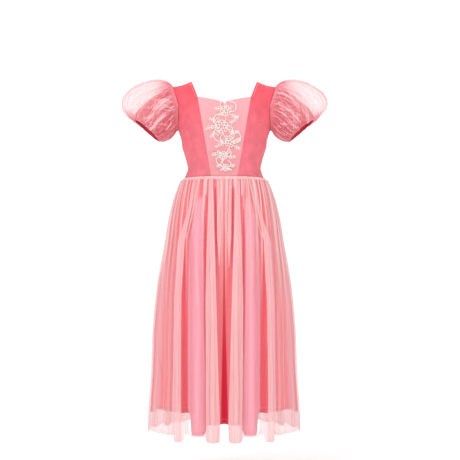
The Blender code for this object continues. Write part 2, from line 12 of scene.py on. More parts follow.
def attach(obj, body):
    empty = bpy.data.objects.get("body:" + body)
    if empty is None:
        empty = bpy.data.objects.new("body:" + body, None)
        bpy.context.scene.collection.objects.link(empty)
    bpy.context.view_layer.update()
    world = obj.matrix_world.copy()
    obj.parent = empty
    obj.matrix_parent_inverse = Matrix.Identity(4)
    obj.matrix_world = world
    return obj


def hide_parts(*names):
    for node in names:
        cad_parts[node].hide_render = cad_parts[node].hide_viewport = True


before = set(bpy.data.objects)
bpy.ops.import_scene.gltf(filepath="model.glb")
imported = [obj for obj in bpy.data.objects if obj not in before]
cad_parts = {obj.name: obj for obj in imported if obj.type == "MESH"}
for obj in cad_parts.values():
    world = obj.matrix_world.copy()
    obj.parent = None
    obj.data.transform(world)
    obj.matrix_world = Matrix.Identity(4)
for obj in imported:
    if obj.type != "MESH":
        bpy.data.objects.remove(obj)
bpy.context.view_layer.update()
mm = 0.001
print("Frame loaded")

# The cloth is worked out in millimetres and becomes a mesh in metres. x runs to the wearer's left
# and the front faces -y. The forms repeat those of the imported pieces, with finer folds.

form = {
    "waist": -246.0, "armpit": -117.0, "chest": -60.0, "shoulderTop": 7.0,
    "shoulderTipDrop": 13.0, "shoulderSag": 3.0, "neckPointX": 86.0, "shoulderTipX": 134.5,
    "armholeFrontX": 116.5, "neckCornerX": 68.0, "neckCornerHeight": -44.0,
    "centreDip": -62.0, "sweetheartPower": 0.62, "centreWaistX": 34.0,
    "backNeckX": 76.0, "backGuideX": 52.0, "backScoop": 7.0, "squareness": 2.3,
    "seamGap": 0.3, "bodiceWall": 1.5,
}
torso = {
    "height": [-246.0, -239.0, -229.0, -198.0, -177.0, -166.0, -146.0, -117.0, -60.0],
    "halfWidth": [102.5, 99.5, 95.0, 98.0, 104.5, 108.0, 110.5, 119.5, 141.0],
    "frontDepth": [79.0, 77.0, 75.0, 77.0, 81.0, 83.0, 86.0, 88.0, 86.0],
    "backDepth": [79.0, 76.0, 73.0, 73.0, 76.0, 78.0, 80.0, 82.0, 80.0],
}


def mix(first, second, share):
    return first + (second - first) * share


def ease(share):
    return 0.5 - 0.5 * np.cos(np.pi * np.clip(share, 0.0, 1.0))


def readTable(table, column, at):  # a smooth curve through a table's rows
    heights = np.array(table["height"])
    values = np.array(table[column])
    slopes = np.gradient(values, heights)
    at = np.clip(at, heights[0], heights[-1])
    low = np.clip(np.searchsorted(heights, at, side="right") - 1, 0, len(heights) - 2)
    step = heights[low + 1] - heights[low]
    t = (at - heights[low]) / step
    return (
        (1 + 2 * t) * (1 - t) ** 2 * values[low]
        + t * (1 - t) ** 2 * step * slopes[low]
        + t * t * (3 - 2 * t) * values[low + 1]
        + t * t * (t - 1) * step * slopes[low + 1]
    )


def rounded(value, squareness):
    return np.sign(value) * np.abs(value) ** (2.0 / squareness)


def shoulderTurn(level):
    return np.maximum(level - form["chest"], 0.0) / (form["shoulderTop"] - form["chest"]) * np.pi / 2


def ridgeHeight(x):  # the shoulder drops a little towards its tip
    reach = form["shoulderTipX"] - form["neckPointX"]
    share = np.clip((np.abs(x) - form["neckPointX"]) / reach, 0.0, 1.0)
    sag = form["shoulderSag"] * np.sin(np.pi * share)
    return form["shoulderTop"] - form["shoulderTipDrop"] * share - sag


def torsoPoint(angle, level):  # angle from centre front; level is height, then the way over the shoulder
    angle, level = np.broadcast_arrays(np.asarray(angle, float), np.asarray(level, float))
    low = np.minimum(level, form["chest"])
    depth = np.where(
        np.cos(angle) > 0, readTable(torso, "frontDepth", low), readTable(torso, "backDepth", low)
    )
    x = readTable(torso, "halfWidth", low) * rounded(np.sin(angle), form["squareness"])
    y = -depth * rounded(np.cos(angle), form["squareness"]) * np.cos(shoulderTurn(level))
    over = form["chest"] + (ridgeHeight(x) - form["chest"]) * np.sin(shoulderTurn(level))
    return np.stack([x, y, np.where(level <= form["chest"], level, over)], axis=-1)


def torsoAngle(x, level):
    share = np.minimum(x / readTable(torso, "halfWidth", np.minimum(level, form["chest"])), 1.0)
    return np.arcsin(share ** (form["squareness"] / 2))


def levelOf(height, x):
    climb = np.clip((height - form["chest"]) / (ridgeHeight(x) - form["chest"]), 0.0, 1.0)
    over = form["chest"] + (form["shoulderTop"] - form["chest"]) * np.arcsin(climb) / (np.pi / 2)
    return np.where(height <= form["chest"], height, over)


def heightOf(level, x):
    over = form["chest"] + (ridgeHeight(x) - form["chest"]) * np.sin(shoulderTurn(level))
    return np.where(level <= form["chest"], level, over)


def torsoNormal(angle, level):
    stepAngle = 0.002 if angle < math.pi / 2 else -0.002
    stepLevel = 0.2 if level < form["shoulderTop"] - 0.2 else -0.2
    here = torsoPoint(angle, level)
    across = (torsoPoint(angle + stepAngle, level) - here) / stepAngle
    up = (torsoPoint(angle, level + stepLevel) - here) / stepLevel
    normal = np.cross(across, up)
    normal /= np.linalg.norm(normal)
    outwards = np.dot(normal, here - np.array([0.0, 0.0, form["chest"]])) > 0
    return normal if outwards else -normal


def armholeX(level):
    if level > form["chest"]:
        return mix(form["armholeFrontX"], form["shoulderTipX"], math.sin(shoulderTurn(level)))
    down = (form["chest"] - level) / (form["chest"] - form["armpit"])
    return mix(form["armholeFrontX"], float(readTable(torso, "halfWidth", form["armpit"])), down ** 3)


def armholeLevel(turnDeg):
    middle = (form["shoulderTop"] + form["armpit"]) / 2
    return middle + (form["shoulderTop"] - form["armpit"]) / 2 * np.cos(np.radians(turnDeg))


def outerAngle(level):  # the side seam, and above the armpit the armhole
    if level <= form["armpit"]:
        return math.pi / 2
    return float(torsoAngle(armholeX(level), level))


def strapEdgeX(height, cornerX):
    share = (height - form["neckCornerHeight"]) / (form["shoulderTop"] - form["neckCornerHeight"])
    return mix(cornerX, form["neckPointX"], share)


def centreSeamX(height):
    share = (height - form["waist"]) / (form["neckCornerHeight"] - form["waist"])
    return mix(form["centreWaistX"], form["neckCornerX"], share)


def necklineHeight(x):
    rise = form["neckCornerHeight"] - form["centreDip"]
    return form["centreDip"] + rise * (np.abs(x) / form["neckCornerX"]) ** form["sweetheartPower"]


def bodiceLevels(lowerRows, armStepDeg):
    lower = np.linspace(form["waist"], form["armpit"], lowerRows)[:-1]
    overArm = armholeLevel(np.arange(180.0, -0.1, -armStepDeg))
    corner = levelOf(form["neckCornerHeight"], form["neckCornerX"])
    return np.sort(np.concatenate([lower, overArm, [corner]]))


otherSide = np.array([-1.0, 1.0, 1.0])


def mirrored(points):  # the same cloth on the wearer's other side
    return points[:, ::-1] * otherSide


def gridNormals(points):
    across = np.gradient(points, axis=1)
    up = np.gradient(points, axis=0)
    normals = np.cross(across, up)
    return normals / np.maximum(np.linalg.norm(normals, axis=-1, keepdims=True), 1e-9)


def pushOut(points, amount):  # moves each point out of the cloth by its own amount
    return points + gridNormals(points) * amount[..., None]


def walked(points, axis):  # how far along the cloth each point lies, up its rows or across
    steps = np.nan_to_num(np.linalg.norm(np.diff(points, axis=axis), axis=-1))
    start = np.zeros_like(np.take(steps, [0], axis=axis))
    return np.concatenate([start, np.cumsum(steps, axis=axis)], axis=axis)


def clothUv(points):  # the cloth laid flat, in metres, so that a weave keeps its real size
    u, v = walked(points, 1), walked(points, 0)
    u -= u[:, u.shape[1] // 2][:, None]
    return np.stack([u, v], axis=-1) * mm


def addPiece(name, mesh, material, body="root"):
    mesh.materials.append(material)
    mesh.shade_smooth()
    piece = bpy.data.objects.new(name, mesh)
    bpy.context.scene.collection.objects.link(piece)
    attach(piece, body)
    return piece


def addCloth(name, points, material, wall=0.0, folds=None):
    # folds holds two values for each point, kept as a colour: how densely a net lies there and how deep its
    # tint is, which on the sleeves is partly painted shade, or how much painted coral and crimson shade a
    # lining's folds get
    rows, columns = points.shape[:2]
    there = ~np.isnan(points[..., 0])
    index = np.full((rows, columns), -1)
    index[there] = np.arange(there.sum())
    quads = np.stack([index[:-1, :-1], index[:-1, 1:], index[1:, 1:], index[1:, :-1]], axis=-1)
    quads = quads.reshape(-1, 4)
    quads = quads[(quads >= 0).all(axis=1)]
    mesh = bpy.data.meshes.new(name)
    mesh.from_pydata((points[there] * mm).tolist(), [], quads.tolist())
    uvLayer = mesh.uv_layers.new(name="Cloth")
    uvLayer.data.foreach_set("uv", clothUv(points)[there][quads.ravel()].astype(np.float32).ravel())
    if folds is not None:
        colour = mesh.color_attributes.new(name="Folds", type="FLOAT_COLOR", domain="POINT")
        values = np.ones((int(there.sum()), 4), np.float32)
        values[:, :folds.shape[-1]] = folds[there]
        colour.data.foreach_set("color", values.ravel())
    piece = addPiece(name, mesh, material)
    if wall:
        thickness = piece.modifiers.new("Wall", "SOLIDIFY")
        thickness.thickness = wall * mm
        thickness.offset = 1.0
    return piece


def creaseField(x, height, creases):
    # Each row: middle x, middle height, length, width, depth, slope in degrees, bend in mm
    total = np.zeros_like(x)
    for middleX, middleHeight, length, width, depth, slopeDeg, bend in creases:
        slope = math.radians(slopeDeg)
        dx, dz = x - middleX, height - middleHeight
        along = (dx * math.cos(slope) + dz * math.sin(slope)) / (length / 2)
        across = -dx * math.sin(slope) + dz * math.cos(slope) + bend * along ** 2
        total += depth * np.exp(-(across / width) ** 2) * np.exp(-along ** 4)
    return total


def edgeRoll(points, sides, reach, drop):
    # The cloth turns in at a seam: by drop at the edge, easing out over reach. sides names the edges
    total = np.zeros(points.shape[:2])
    across, rise = walked(points, 1), walked(points, 0)
    distances = {
        "first": across, "last": across[:, -1:] - across, "bottom": rise, "top": rise[-1:] - rise,
    }
    for side in sides:
        total -= drop * (1 - ease(distances[side] / reach)) ** 2
    return total


# Materials


def toLinear(hexColour):
    parts = [int(hexColour[i:i + 2], 16) / 255 for i in (1, 3, 5)]
    return [p / 12.92 if p <= 0.04045 else ((p + 0.055) / 1.055) ** 2.4 for p in parts] + [1.0]


def add(tree, kind, inputs=None, **settings):  # a node with its settings and links
    node = tree.nodes.new(kind)
    for name, value in settings.items():
        setattr(node, name, value)
    for name, value in (inputs or {}).items():
        if isinstance(value, bpy.types.NodeSocket):
            tree.links.new(value, node.inputs[name])
        else:
            node.inputs[name].default_value = value
    return node


def newMaterial(name):
    material = bpy.data.materials.new(name)
    material.use_nodes = True
    tree = material.node_tree
    tree.nodes.clear()
    shader = add(tree, "ShaderNodeBsdfPrincipled")
    output = add(tree, "ShaderNodeOutputMaterial", {"Surface": shader.outputs["BSDF"]})
    output.is_active_output = True
    return material, tree, shader


def connect(tree, shader, **inputs):  # the shader's links and values, with underscores for spaces
    for name, value in inputs.items():
        socket = shader.inputs[name.replace("_", " ")]
        if isinstance(value, bpy.types.NodeSocket):
            tree.links.new(value, socket)
        else:
            socket.default_value = value


def mottle(tree, vector, scale, detail, spread, low, high):
    # A noise and the brightness that it gives, from low to high; a small spread is a strong contrast
    noise = add(tree, "ShaderNodeTexNoise", {"Vector": vector, "Scale": scale, "Detail": detail})
    value = add(tree, "ShaderNodeMapRange", {
        "Value": noise.outputs["Fac"], "From Min": 0.5 - spread, "From Max": 0.5 + spread,
        "To Min": low, "To Max": high,
    })
    return noise.outputs["Fac"], value.outputs["Result"]


def streaks(tree, place, widthMm, stretch, detail, low, high):
    # Lines that run up the laid-out cloth, widthMm across and stretch times as long
    scaled = add(tree, "ShaderNodeMapping", {
        "Vector": place.outputs["UV"], "Scale": (1 / (widthMm * mm), 1 / (widthMm * stretch * mm), 1.0),
    })
    return mottle(tree, scaled.outputs["Vector"], 1.0, detail, 0.25, low, high)


def clothSurface(tree, shader, colour, brightness, height, strength, depthMm, **inputs):
    # The surface of a cloth or cord: its colour made lighter and darker, and its relief
    tinted = add(tree, "ShaderNodeHueSaturation", {"Color": colour, "Value": brightness})
    bump = add(tree, "ShaderNodeBump", {"Height": height, "Strength": strength, "Distance": depthMm * mm})
    connect(tree, shader, Base_Color=tinted.outputs["Color"], Normal=bump.outputs["Normal"], **inputs)


def makeVelvet():
    # Polyester stretch velvet, knitted and cut to a short dense pile: matt, with a pale bloom
    # where the pile is seen edge on and soft patches where the nap has been brushed
    look = {
        "top": "#F4505F", "middle": "#EA6E7B", "bottom": "#E67884", "napPatchMm": 24.0, "brushMm": 5.0,
        "pileMm": 1.3,
    }
    material, tree, shader = newMaterial("coralStretchVelvet")
    place = add(tree, "ShaderNodeTexCoord")
    parts = add(tree, "ShaderNodeSeparateXYZ", {"Vector": place.outputs["Object"]})
    # Painted sheen and nap: the colour pales from the shoulders down to the waist, partly the pale haze the
    # lower bodice shows in the light and partly its nap
    height = add(tree, "ShaderNodeMapRange", {
        "Value": parts.outputs["Z"], "From Min": form["waist"] * mm, "From Max": form["shoulderTop"] * mm,
    })
    ramp = add(tree, "ShaderNodeValToRGB", {"Fac": height.outputs["Result"]})
    ramp.color_ramp.elements[0].color = toLinear(look["bottom"])
    ramp.color_ramp.elements[1].color = toLinear(look["top"])
    ramp.color_ramp.elements.new(0.55).color = toLinear(look["middle"])
    whole = place.outputs["Object"]
    _, brushed = mottle(tree, whole, 1 / (look["napPatchMm"] * mm), 3.0, 0.2, 0.90, 1.08)
    long = add(tree, "ShaderNodeMapping", {
        "Vector": whole, "Scale": [1 / (look["brushMm"] * mm * s) for s in (1.0, 1.0, 6.0)],
    })
    _, stroked = mottle(tree, long.outputs["Vector"], 1.0, 3.0, 0.2, 0.94, 1.05)
    # the pile is finer than this; drawn at 1.3 mm to show
    pile, speckle = mottle(tree, whole, 1 / (look["pileMm"] * mm), 2.0, 0.2, 0.94, 1.06)
    nap = add(tree, "ShaderNodeMath", {0: brushed, 1: stroked}, operation="MULTIPLY")
    value = add(tree, "ShaderNodeMath", {0: nap.outputs[0], 1: speckle}, operation="MULTIPLY")
    clothSurface(
        tree, shader, ramp.outputs["Color"], value.outputs[0], pile, 0.25, 0.3, Roughness=0.9,
        Specular_IOR_Level=0.15, Sheen_Weight=0.35, Sheen_Roughness=0.4, Sheen_Tint=toLinear("#FFC4CC"),
    )
    return material


def makeSatin(name, look):
    # Polyester satin, warp-faced and pressed: a soft low shine with faint vertical yarn lines, which
    # are drawn coarser than the real yarns, to show
    material, tree, shader = newMaterial(name)
    place = add(tree, "ShaderNodeTexCoord")
    parts = add(tree, "ShaderNodeSeparateXYZ", {"Vector": place.outputs["Object"]})
    # Painted light and shade: the satin is paler near the neckline and darker towards the waist, as the light
    # falls on the panel
    height = add(tree, "ShaderNodeMapRange", {
        "Value": parts.outputs["Z"], "From Min": look["from"] * mm, "From Max": look["to"] * mm,
    })
    fade = add(tree, "ShaderNodeMix", {
        0: height.outputs["Result"], 6: toLinear(look["bottom"]), 7: toLinear(look["top"]),
    }, data_type="RGBA")
    yarns, line = streaks(tree, place, look["yarnMm"], 30, 2.0, 0.96, 1.03)
    clothSurface(
        tree, shader, fade.outputs[2], line, yarns, 0.15, 0.2, Roughness=0.5, Specular_IOR_Level=0.3,
        Sheen_Weight=0.1,
    )
    return material


def makeLining():
    # Acetate lining satin, woven and dyed pink. Between the folds light passes from wall to wall and comes
    # back
    # coral, and crimson in the deepest one: this is painted shade, a coral and crimson tint along each fold.
    # The yarns are drawn coarser than real ones, to show
    look = {"lobe": "#F7A4B6", "valley": "#F85C6A", "deepest": "#EF2C4E", "yarnMm": 1.6, "streakMm": 3.8}
    material, tree, shader = newMaterial("pinkLiningSatin")
    place = add(tree, "ShaderNodeTexCoord")
    folds = add(tree, "ShaderNodeVertexColor", layer_name="Folds")
    parts = add(tree, "ShaderNodeSeparateColor", {"Color": folds.outputs["Color"]})
    # Painted shade: the pink lining is tinted coral between the lobes and crimson in the deepest valleys
    coral = add(tree, "ShaderNodeMix", {
        0: parts.outputs["Red"], 6: toLinear(look["lobe"]), 7: toLinear(look["valley"]),
    }, data_type="RGBA")
    crimsonShade = add(tree, "ShaderNodeMix", {
        0: parts.outputs["Green"], 6: coral.outputs[2], 7: toLinear(look["deepest"]),
    }, data_type="RGBA")
    _, line = streaks(tree, place, look["streakMm"], 40, 3.0, 0.84, 1.08)
    yarn = add(tree, "ShaderNodeMapping", {
        "Vector": place.outputs["UV"],
        "Scale": (1 / (look["yarnMm"] * mm), 1 / (look["yarnMm"] * 12 * mm), 1.0),
    })
    weave = add(tree, "ShaderNodeTexNoise", {"Vector": yarn.outputs["Vector"], "Scale": 1.0, "Detail": 1.0})
    clothSurface(
        tree, shader, crimsonShade.outputs[2], line, weave.outputs["Fac"], 0.12, 0.2, Roughness=0.55,
        Specular_IOR_Level=0.25, Sheen_Weight=0.15,
    )
    return material


def makeNet(name, look):
    # Soft nylon net, knitted in small hexagons: each layer is a haze that thickens where it is
    # gathered, so how much it hides comes from how densely the cloth lies there
    material, tree, shader = newMaterial(name)
    place = add(tree, "ShaderNodeTexCoord")
    folds = add(tree, "ShaderNodeVertexColor", layer_name="Folds")
    parts = add(tree, "ShaderNodeSeparateColor", {"Color": folds.outputs["Color"]})
    flat = add(tree, "ShaderNodeSeparateXYZ", {"Vector": place.outputs["UV"]})
    # Three sets of waves at sixty degrees make the hexagons, drawn at 2 to 2.6 mm where real ones are 1.2
    sets = []
    for turn in (0.0, 60.0, 120.0):
        across = add(tree, "ShaderNodeMath", {
            0: flat.outputs["X"], 1: math.cos(math.radians(turn)) * 2 * math.pi / (look["holeMm"] * mm),
        }, operation="MULTIPLY")
        wave = add(tree, "ShaderNodeMath", {
            0: flat.outputs["Y"], 1: math.sin(math.radians(turn)) * 2 * math.pi / (look["holeMm"] * mm),
            2: across.outputs[0],
        }, operation="MULTIPLY_ADD")
        sets.append(add(tree, "ShaderNodeMath", {0: wave.outputs[0]}, operation="COSINE"))
    two = add(tree, "ShaderNodeMath", {0: sets[0].outputs[0], 1: sets[1].outputs[0]}, operation="ADD")
    three = add(tree, "ShaderNodeMath", {0: two.outputs[0], 1: sets[2].outputs[0]}, operation="ADD")
    thread = add(tree, "ShaderNodeMapRange", {
        "Value": three.outputs[0], "From Min": -1.5, "From Max": 2.0, "To Min": 1.12, "To Max": 0.80,
    })
    _, line = streaks(tree, place, look["streakMm"], 25, 3.0, 0.87, 1.13)
    haze = add(tree, "ShaderNodeMath", {
        0: parts.outputs["Red"], 1: thread.outputs["Result"],
    }, operation="MULTIPLY")
    cover = add(tree, "ShaderNodeMath", {0: haze.outputs[0], 1: line}, operation="MULTIPLY", use_clamp=True)
    # The second value deepens the net's tint: where it bunches on the skirt, near the arm on the sleeves, and
    # as painted shade on the puffs' undersides
    colour = add(tree, "ShaderNodeMix", {
        0: parts.outputs["Green"], 6: toLinear(look["thin"]), 7: toLinear(look["deeperTint"]),
    }, data_type="RGBA")
    connect(tree, shader, Base_Color=colour.outputs[2], Alpha=cover.outputs[0], Roughness=0.8,
            Specular_IOR_Level=0.15, Sheen_Weight=0.2, Sheen_Tint=toLinear("#FFE2E4"))
    return material


def makeUnderSleeveCloth():
    # Coral polyester plain weave, woven and left matt: an even grain, deep in the shade of the cuff.
    # The yarns are drawn at 0.8 mm, about twice as coarse as real ones
    look = {"colour": "#E5566A", "yarnMm": 0.8, "patchMm": 1000 / 60}
    material, tree, shader = newMaterial("coralPlainWeave")
    place = add(tree, "ShaderNodeTexCoord")
    cloth = add(tree, "ShaderNodeMapping", {
        "Vector": place.outputs["UV"], "Scale": [1 / (look["yarnMm"] * mm)] * 3,
    })
    weave = add(tree, "ShaderNodeTexChecker", {"Vector": cloth.outputs["Vector"], "Scale": 1.0})
    _, value = mottle(tree, place.outputs["Object"], 1 / (look["patchMm"] * mm), 2.0, 0.2, 0.94, 1.04)
    clothSurface(
        tree, shader, toLinear(look["colour"]), value, weave.outputs["Fac"], 0.2, 0.15, Roughness=0.75,
        Specular_IOR_Level=0.2,
    )
    return material


def makeCordThread():
    # Rayon embroidery thread, twisted and couched down: bright ivory pink with a silky twist
    look = {"colour": "#FDEAE5", "twistMm": 0.9}
    material, tree, shader = newMaterial("ivoryRayonCord")
    place = add(tree, "ShaderNodeTexCoord")
    twist = add(tree, "ShaderNodeTexWave", {
        "Vector": place.outputs["Object"], "Scale": 1 / (look["twistMm"] * mm) / 6.28, "Distortion": 1.5,
    }, bands_direction="DIAGONAL")
    value = add(tree, "ShaderNodeMapRange", {"Value": twist.outputs["Fac"], "To Min": 0.88, "To Max": 1.04})
    clothSurface(
        tree, shader, toLinear(look["colour"]), value.outputs["Result"], twist.outputs["Fac"], 0.3, 0.2,
        Roughness=0.45, Sheen_Weight=0.2,
    )
    return material


def makeSewingThread(name, hexColour):
    # Spun polyester sewing thread: matt, a shade off the cloth, with a slight twist
    material, tree, shader = newMaterial(name)
    place = add(tree, "ShaderNodeTexCoord")
    fibreMm = 0.4
    fibre = add(tree, "ShaderNodeTexNoise", {
        "Vector": place.outputs["Object"], "Scale": 1 / (fibreMm * mm),
    })
    value = add(tree, "ShaderNodeMapRange", {"Value": fibre.outputs["Fac"], "To Min": 0.9, "To Max": 1.1})
    colour = add(tree, "ShaderNodeHueSaturation", {
        "Color": toLinear(hexColour), "Value": value.outputs["Result"],
    })
    connect(tree, shader, Base_Color=colour.outputs["Color"], Roughness=0.7)
    return material


velvet = makeVelvet()
panelSatin = makeSatin("palePinkSatin", {
    "top": "#F0A8AE", "bottom": "#E3949B", "from": -246.0, "to": -50.0, "yarnMm": 1.1,
})
liningSatin = makeLining()
skirtNet = makeNet("peachNylonNet", {"thin": "#FBCCCE", "deeperTint": "#F2BCBE", "holeMm": 2.6, "streakMm": 4.0})
sleeveNet = makeNet("paleNylonNet", {"thin": "#FBD0D3", "deeperTint": "#EE949F", "holeMm": 2.6, "streakMm": 3.5})
laceGround = makeNet("laceGroundNet", {
    "thin": "#FBE3DC", "deeperTint": "#FBE3DC", "holeMm": 2.0, "streakMm": 3.0,
})
underSleeveCloth = makeUnderSleeveCloth()
laceCord = makeCordThread()
paleThread = makeSewingThread("palePinkThread", "#FBC7CB")
coralThread = makeSewingThread("coralThread", "#E9677A")
print("Materials made")


# Threads and cords: tubes that follow lines of points


def addTubes(name, lines, material, sides=6, flatten=1.0):
    # Each line holds its points, the way out of the cloth at each, and its radius at each
    verts, faces = [], []
    for points, outs, radii in lines:
        points, outs = np.asarray(points), np.asarray(outs)
        ways = np.gradient(points, axis=0)
        ways /= np.maximum(np.linalg.norm(ways, axis=1, keepdims=True), 1e-9)
        across = np.cross(ways, outs)
        across /= np.maximum(np.linalg.norm(across, axis=1, keepdims=True), 1e-9)
        outs = np.cross(across, ways)
        start = len(verts)
        for point, side, out, radius in zip(points, across, outs, radii):
            for corner in range(sides):
                turn = 2 * math.pi * corner / sides
                offset = side * math.cos(turn) + out * math.sin(turn) * flatten
                verts.append((point + offset * radius) * mm)
        for ring in range(len(points) - 1):
            for corner in range(sides):
                first = start + ring * sides + corner
                second = start + ring * sides + (corner + 1) % sides
                faces.append((first, second, second + sides, first + sides))
        faces.append([start + corner for corner in reversed(range(sides))])
        last = start + (len(points) - 1) * sides
        faces.append([last + corner for corner in range(sides)])
    mesh = bpy.data.meshes.new(name)
    mesh.from_pydata([tuple(v) for v in verts], [], faces)
    return addPiece(name, mesh, material)


def stitchLines(points, outs, sewing):  # a row of short threads along a line of points
    points, outs = np.asarray(points), np.asarray(outs)
    steps = np.concatenate([[0.0], np.cumsum(np.linalg.norm(np.diff(points, axis=0), axis=1))])
    lines = []
    start = sewing["pitch"] * 0.3
    while start + sewing["length"] < steps[-1]:
        at = start + np.linspace(0.0, sewing["length"], 5)
        line = np.stack([np.interp(at, steps, points[:, axis]) for axis in range(3)], axis=1)
        out = np.stack([np.interp(at, steps, outs[:, axis]) for axis in range(3)], axis=1)
        dip = np.array([-0.3, 0.15, 0.3, 0.15, -0.3]) * sewing["radius"] * 2
        radii = np.array([0.55, 0.95, 1.0, 0.95, 0.55]) * sewing["radius"]
        lines.append((line + out * (dip + sewing["lift"])[:, None], out, radii))
        start += sewing["pitch"]
    return lines


# Bodice

bodice = {
    "columns": 46, "lowerRows": 44, "armStepDeg": 4.0, "seamRoll": 0.7, "seamRollReach": 3.5,
    "creaseScale": 1.5, "satinCreaseScale": 1.6, "panelColumns": 72, "panelRows": 104,
    "strapColumns": 26, "neckColumns": 26,
    "topRoll": 0.5, "topRollReach": 2.2,
    # middle x, middle height, length, width, depth, slope, bend, for the wearer's left front
    "frontCreases": [
        (99.0, -66.0, 30.0, 2.6, -1.0, -8.0, 5.0),
        (101.0, -71.0, 26.0, 3.0, 0.7, -8.0, 5.0),
        (98.0, -108.0, 28.0, 3.0, -1.1, -14.0, 5.5),
        (100.0, -114.0, 24.0, 3.4, 0.8, -14.0, 5.0),
        (84.0, -152.0, 36.0, 5.0, -0.6, 28.0, 3.0),
        (92.0, -186.0, 30.0, 4.0, -0.8, 14.0, -2.0),
        (86.0, -214.0, 38.0, 4.2, -1.0, 6.0, 2.0),
        (70.0, -233.0, 44.0, 4.0, -0.9, -4.0, 2.0),
        (94.0, -228.0, 26.0, 3.2, 0.8, 12.0, 0.0),
        (58.0, -196.0, 28.0, 5.0, 0.5, -20.0, 3.0),
        (104.0, -20.0, 34.0, 4.0, -0.7, 74.0, 3.0),
        (73.0, -150.0, 170.0, 4.5, 0.9, 86.0, 3.0),
        (86.0, -140.0, 120.0, 6.0, -0.6, 82.0, 4.0),
    ],
    "backCreases": [
        (40.0, -218.0, 52.0, 4.5, -1.1, 8.0, 3.0),
        (-34.0, -224.0, 60.0, 4.0, -1.2, -6.0, 2.0),
        (6.0, -234.0, 70.0, 4.0, 0.9, 2.0, -2.0),
        (-8.0, -204.0, 46.0, 5.0, -0.8, 3.0, 4.0),
        (76.0, -176.0, 40.0, 5.0, -0.9, 24.0, 3.0),
        (-78.0, -182.0, 44.0, 5.0, -0.9, -20.0, 3.0),
        (92.0, -120.0, 30.0, 4.0, -1.0, 34.0, 5.0),
        (-92.0, -116.0, 30.0, 4.0, -1.0, -30.0, 5.0),
        (30.0, -150.0, 60.0, 7.0, -0.6, 12.0, 4.0),
        (-28.0, -140.0, 56.0, 7.0, -0.5, -14.0, 4.0),
        (0.0, -80.0, 70.0, 6.0, -0.6, 0.0, 4.0),
    ],
    # across the satin panel, deepest just above the waist
    "satinCreases": [
        (-20.0, -214.0, 34.0, 2.6, -1.0, -5.0, 1.5),
        (17.0, -207.0, 40.0, 2.8, -0.8, 4.0, 1.0),
        (-10.0, -229.0, 50.0, 2.6, -1.2, 3.0, -1.5),
        (20.0, -224.0, 26.0, 2.4, -1.0, -6.0, 0.0),
        (2.0, -238.0, 56.0, 2.4, -0.9, 0.0, 1.0),
        (-2.0, -219.0, 30.0, 2.4, 0.7, 2.0, 0.0),
        (-26.0, -186.0, 26.0, 3.4, -0.6, 8.0, 1.0),
        (26.0, -176.0, 28.0, 3.6, -0.6, -7.0, 1.0),
        (-34.0, -104.0, 34.0, 6.0, -0.6, 34.0, 2.0),
        (36.0, -98.0, 34.0, 6.0, -0.6, -32.0, 2.0),
    ],
}
bodiceCloth = form["bodiceWall"] - 0.2  # a little thinner than the solids
topStitch = {"pitch": 3.2, "length": 2.3, "radius": 0.42, "lift": 0.1, "fromEdge": 5.0}


def halfGap(points):  # the front and the back each stand half a seam gap off the side seams
    shift = np.where(points[..., 1] < form["seamGap"], -form["seamGap"] / 2, form["seamGap"] / 2)
    moved = points.copy()
    moved[..., 1] += shift
    return moved


def sideFrontPoints():
    rows = []
    for level in bodiceLevels(bodice["lowerRows"], bodice["armStepDeg"]):
        height = float(heightOf(level, form["neckCornerX"]))
        if height <= form["neckCornerHeight"] + 0.001:
            innerX = centreSeamX(height) + form["seamGap"] / 2
        else:
            innerX = strapEdgeX(height, form["neckCornerX"]) + form["seamGap"] / 2
        inner = float(torsoAngle(innerX, level))
        angles = np.linspace(inner, outerAngle(level), bodice["columns"] + 1)
        rows.append(torsoPoint(angles, level))
    return halfGap(np.array(rows))


def seamRoll(points):
    return edgeRoll(points, ["first", "last", "bottom"], bodice["seamRollReach"], bodice["seamRoll"])


def sideFrontCloth(flat, creases):
    relief = bodice["creaseScale"] * creaseField(flat[..., 0], flat[..., 2], creases)
    return pushOut(flat, relief + seamRoll(flat))


def makeSideFronts():
    flat = sideFrontPoints()
    # The other side creases a little differently
    other = [
        (x + 3, height - 4, length * 0.9, width, depth * 0.85, slope + 6, bend)
        for x, height, length, width, depth, slope, bend in bodice["frontCreases"]
    ]
    cloths = {
        "left": sideFrontCloth(flat, bodice["frontCreases"]),
        "right": mirrored(sideFrontCloth(flat, other)),
    }
    for side, points in cloths.items():
        piece = addCloth("bodice_velvet_" + side, points, velvet, wall=bodiceCloth)
        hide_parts("bodice_front_" + side)


def panelPoints(across, up):  # the centre panel by its shares from seam to seam and waist to top
    edgeHeight = mix(form["waist"], form["neckCornerHeight"], up)
    x = across * (centreSeamX(edgeHeight) - form["seamGap"] / 2)
    height = mix(form["waist"], necklineHeight(across * form["neckCornerX"]), up)
    level = levelOf(height, x)
    angle = np.copysign(torsoAngle(np.abs(x), level), x)
    return halfGap(torsoPoint(angle, level))


def makeCentrePanel():
    columns, rows = bodice["panelColumns"] + 1, bodice["panelRows"] + 1
    across, up = np.meshgrid(np.linspace(-1.0, 1.0, columns), np.linspace(0.0, 1.0, rows))
    flat = panelPoints(across, up)
    relief = bodice["satinCreaseScale"] * creaseField(flat[..., 0], flat[..., 2], bodice["satinCreases"])
    relief += seamRoll(flat)
    relief += edgeRoll(flat, ["top"], bodice["topRollReach"], bodice["topRoll"])
    piece = addCloth("bodice_satin_panel", pushOut(flat, relief), panelSatin, wall=bodiceCloth)
    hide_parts("bodice_front_centre")
    return piece


